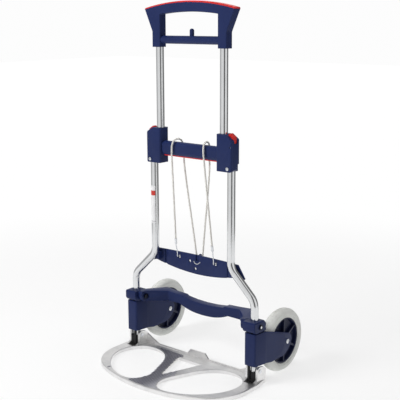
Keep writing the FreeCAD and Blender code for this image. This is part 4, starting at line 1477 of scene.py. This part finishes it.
@dataclass
class Studio:
    """Pale floor, soft lights and the camera.

    The walls are (degrees round from the camera, positive to its right, and brightness).
    """

    target: Vector = field(default_factory=lambda: Vector((0.0, 0.005, 0.49277)))
    azimuth: float = math.radians(40.03)
    rise: float = math.radians(11.75)
    roll: float = math.radians(-0.27)
    distance: float = 2.39788
    lens: float = 78.0
    sensor: float = 36.0
    shift: tuple[float, float] = (0.0206, -0.0097)
    lamp_aim: Point = (0.0, 0.0, 0.45)
    lamps: tuple[Lamp, ...] = (
        Lamp((-1.2, -2.3, 2.2), (1.2, 1.2), 66.0),
        Lamp((2.7, -0.4, 1.4), (0.8, 1.4), 4.0),
        Lamp((0.2, 0.5, 3.2), (2.0, 1.4), 40.0))
    walls: tuple[tuple[float, float], ...] = (
        (-180, 0.88), (-150, 0.60), (-112, 0.40), (-88, 0.75), (-40, 0.90), (-10, 0.80),
        (2, 0.10), (24, 0.10), (36, 0.92), (70, 0.92), (86, 0.16), (140, 0.20), (165, 0.66),
        (180, 0.88))
    drum_radius: float = 1.6
    drum_height: float = 1.35
    drum_sides: int = 96
    floor_reach: float = 14.0
    floor_fade: tuple[float, float] = (0.5, 2.2)
    paper: tuple[float, float] = (0.34, 0.33)
    paper_far: float = 0.01
    paper_glow: tuple[float, float] = (0.66, 0.985)
    ambient: float = 0.13
    backdrop: float = 0.98

    def camera(self) -> None:
        """Sets the camera at the viewing angle."""
        back = Vector((math.sin(self.azimuth) * math.cos(self.rise),
                       -math.cos(self.azimuth) * math.cos(self.rise), math.sin(self.rise)))
        across = Vector((math.cos(self.azimuth), math.sin(self.azimuth), 0))
        up = back.cross(across)
        across = across * math.cos(self.roll) + up * math.sin(self.roll)
        up = back.cross(across)
        data = bpy.data.cameras.new("camera")
        data.lens, data.sensor_width = self.lens, self.sensor
        data.shift_x, data.shift_y = self.shift
        item = bpy.data.objects.new("camera", data)
        place = self.target + back * self.distance
        item.matrix_world = Matrix((
            (across.x, up.x, back.x, place.x), (across.y, up.y, back.y, place.y),
            (across.z, up.z, back.z, place.z), (0, 0, 0, 1)))
        bpy.context.scene.collection.objects.link(item)
        bpy.context.scene.camera = item

    def bearing(self, g: Graph, way: bpy.types.NodeSocket) -> bpy.types.NodeSocket:
        """Brightness of the studio's walls in a direction.

        Args:
            g: the graph that the nodes go into.
            way: the direction from the truck.

        Returns:
            The ramp's colour.
        """
        back = (math.sin(self.azimuth), -math.cos(self.azimuth), 0.0)
        across = (math.cos(self.azimuth), math.sin(self.azimuth), 0.0)
        sideways, towards = (
            Term(g, g.add("ShaderNodeVectorMath", {"operation": "DOT_PRODUCT"},
                          {0: way, 1: axis}).outputs["Value"]) for axis in (across, back))
        share = sideways.math("ARCTAN2", towards) * (0.5 / math.pi) + 0.5
        stops = [((angle + 180) / 360, (value,) * 3) for angle, value in self.walls]
        return g.add("ShaderNodeValToRGB", {"stops": stops}, {0: share}).outputs[0]

    def stand(self, name: str, corners: Sequence[Point],
              faces: Sequence[Sequence[int]]) -> bpy.types.Object:
        """A part of the stage, made from corners and faces.

        Args:
            name: its name.
            corners: their places.
            faces: corner numbers of each face.

        Returns:
            The stage object.
        """
        mesh = bpy.data.meshes.new(name)
        mesh.from_pydata(corners, [], faces)
        item = bpy.data.objects.new(name, mesh)
        bpy.context.scene.collection.objects.link(item)
        return item

    def floor(self) -> None:
        """Pale paper floor that turns white with distance."""
        reach = self.floor_reach
        corners = [(x * reach, y * reach, 0) for x, y in ((-1, -1), (1, -1), (1, 1), (-1, 1))]
        item = self.stand("studio_floor", corners, [(0, 1, 2, 3)])
        s = Surface("pale_paper", Roughness=0.9, Specular_IOR_Level=0.1, Emission_Strength=1.0)
        across, along, _ = s.axes(s.place)
        far = (across * across + along * along).math("SQRT").ramp(*self.floor_fade)
        paper = s.blend(s.noise(3.0, 2.0), *((grey,) * 3 for grey in self.paper))
        s.set(Base_Color=s.blend(far, paper, (self.paper_far,) * 3))
        s.set(Emission_Color=s.blend(far, *((grey,) * 3 for grey in self.paper_glow)))
        item.data.materials.append(s.material)

    def drum(self) -> None:
        """Ring of light and dark walls round the truck that only its gloss mirrors."""
        count = self.drum_sides
        turns = [k * 2 * math.pi / count for k in range(count)]
        corners = [(self.drum_radius * math.cos(turn), self.drum_radius * math.sin(turn), height)
                   for height in (0.0, self.drum_height) for turn in turns]
        item = self.stand("studio_drum", corners, [
            (k, (k + 1) % count, (k + 1) % count + count, k + count) for k in range(count)])
        material = bpy.data.materials.new("drum_walls")
        material.use_nodes = True
        g = Graph(material.node_tree)
        walls = self.bearing(g, g.add("ShaderNodeTexCoord").outputs["Object"])
        glow = g.add("ShaderNodeEmission", None, {"Color": walls, "Strength": 1.0})
        g.add("ShaderNodeOutputMaterial", None, {"Surface": glow.outputs[0]})
        item.data.materials.append(material)
        item.visible_camera = item.visible_diffuse = item.visible_shadow = False

    def air(self) -> bpy.types.World:
        """White behind the truck, soft light from all round, and walls in what the metal mirrors.

        Returns:
            The world.
        """
        world = bpy.data.worlds.new("studio_air")
        world.use_nodes = True
        g = Graph(world.node_tree)
        walls = self.bearing(g, g.add("ShaderNodeTexCoord").outputs["Generated"])
        rays = g.add("ShaderNodeLightPath").outputs
        lit = g.blend(rays["Is Diffuse Ray"], walls, (self.ambient,) * 3)
        shown = g.blend(rays["Is Camera Ray"], lit, (self.backdrop,) * 3)
        glow = g.add("ShaderNodeBackground", None, {"Color": shown, "Strength": 1.0})
        g.add("ShaderNodeOutputWorld", None, {"Surface": glow.outputs[0]})
        return world

    def lamp(self, name: str, lamp: Lamp) -> None:
        """Hangs one lamp, which the metal doesn't mirror.

        Args:
            name: the light's name.
            lamp: its place, size and power.
        """
        data = bpy.data.lights.new(name, "AREA")
        data.shape, data.size, data.size_y, data.energy = "RECTANGLE", *lamp.size, lamp.power
        item = bpy.data.objects.new(name, data)
        aim = (Vector(self.lamp_aim) - Vector(lamp.place)).to_track_quat("-Z", "Y")
        item.matrix_world = Matrix.Translation(lamp.place) @ aim.to_matrix().to_4x4()
        item.visible_glossy = False
        bpy.context.scene.collection.objects.link(item)

    def build(self) -> None:
        """Sets the stage."""
        scene = bpy.context.scene
        scene.view_settings.view_transform = "Standard"
        self.camera()
        self.floor()
        self.drum()
        for index, lamp in enumerate(self.lamps):
            self.lamp(f"soft_{index}", lamp)
        scene.world = self.air()


def main() -> None:
    """Builds the stage and every sub-assembly in order."""
    logging.basicConfig(level=logging.INFO, format="%(name)s: %(message)s")
    Studio().build()
    shop = Shop({
        Slot.TUBE: Drawn("anodised_tube"),
        Slot.NAVY: Moulded("navy_nylon", (0.010, 0.019, 0.080), (0.018, 0.030, 0.106)),
        Slot.RED: Moulded("red_nylon", (0.55, 0.020, 0.018), (0.62, 0.045, 0.035), rough=0.36),
        Slot.BLACK: Moulded("black_nylon", (0.012, 0.012, 0.013), (0.022, 0.022, 0.024),
                            rough=0.46),
        Slot.ZINC: Plated("zinc_plate"),
        Slot.RIM: Moulded("rim_nylon", (0.008, 0.012, 0.042), (0.015, 0.020, 0.060), rough=0.30),
        Slot.CAST: Cast("cast_metal"),
        Slot.CORD: Braid("cord_braid"),
    })
    ElasticCord(shop).build()
    Metalwork(shop).build()
    Mouldings(shop).build()
    Forks(shop).build()
    Wheels(shop).build()
    ToePlate(shop).build()
    Fasteners(shop).build()


if __name__ == "__main__":
    main()
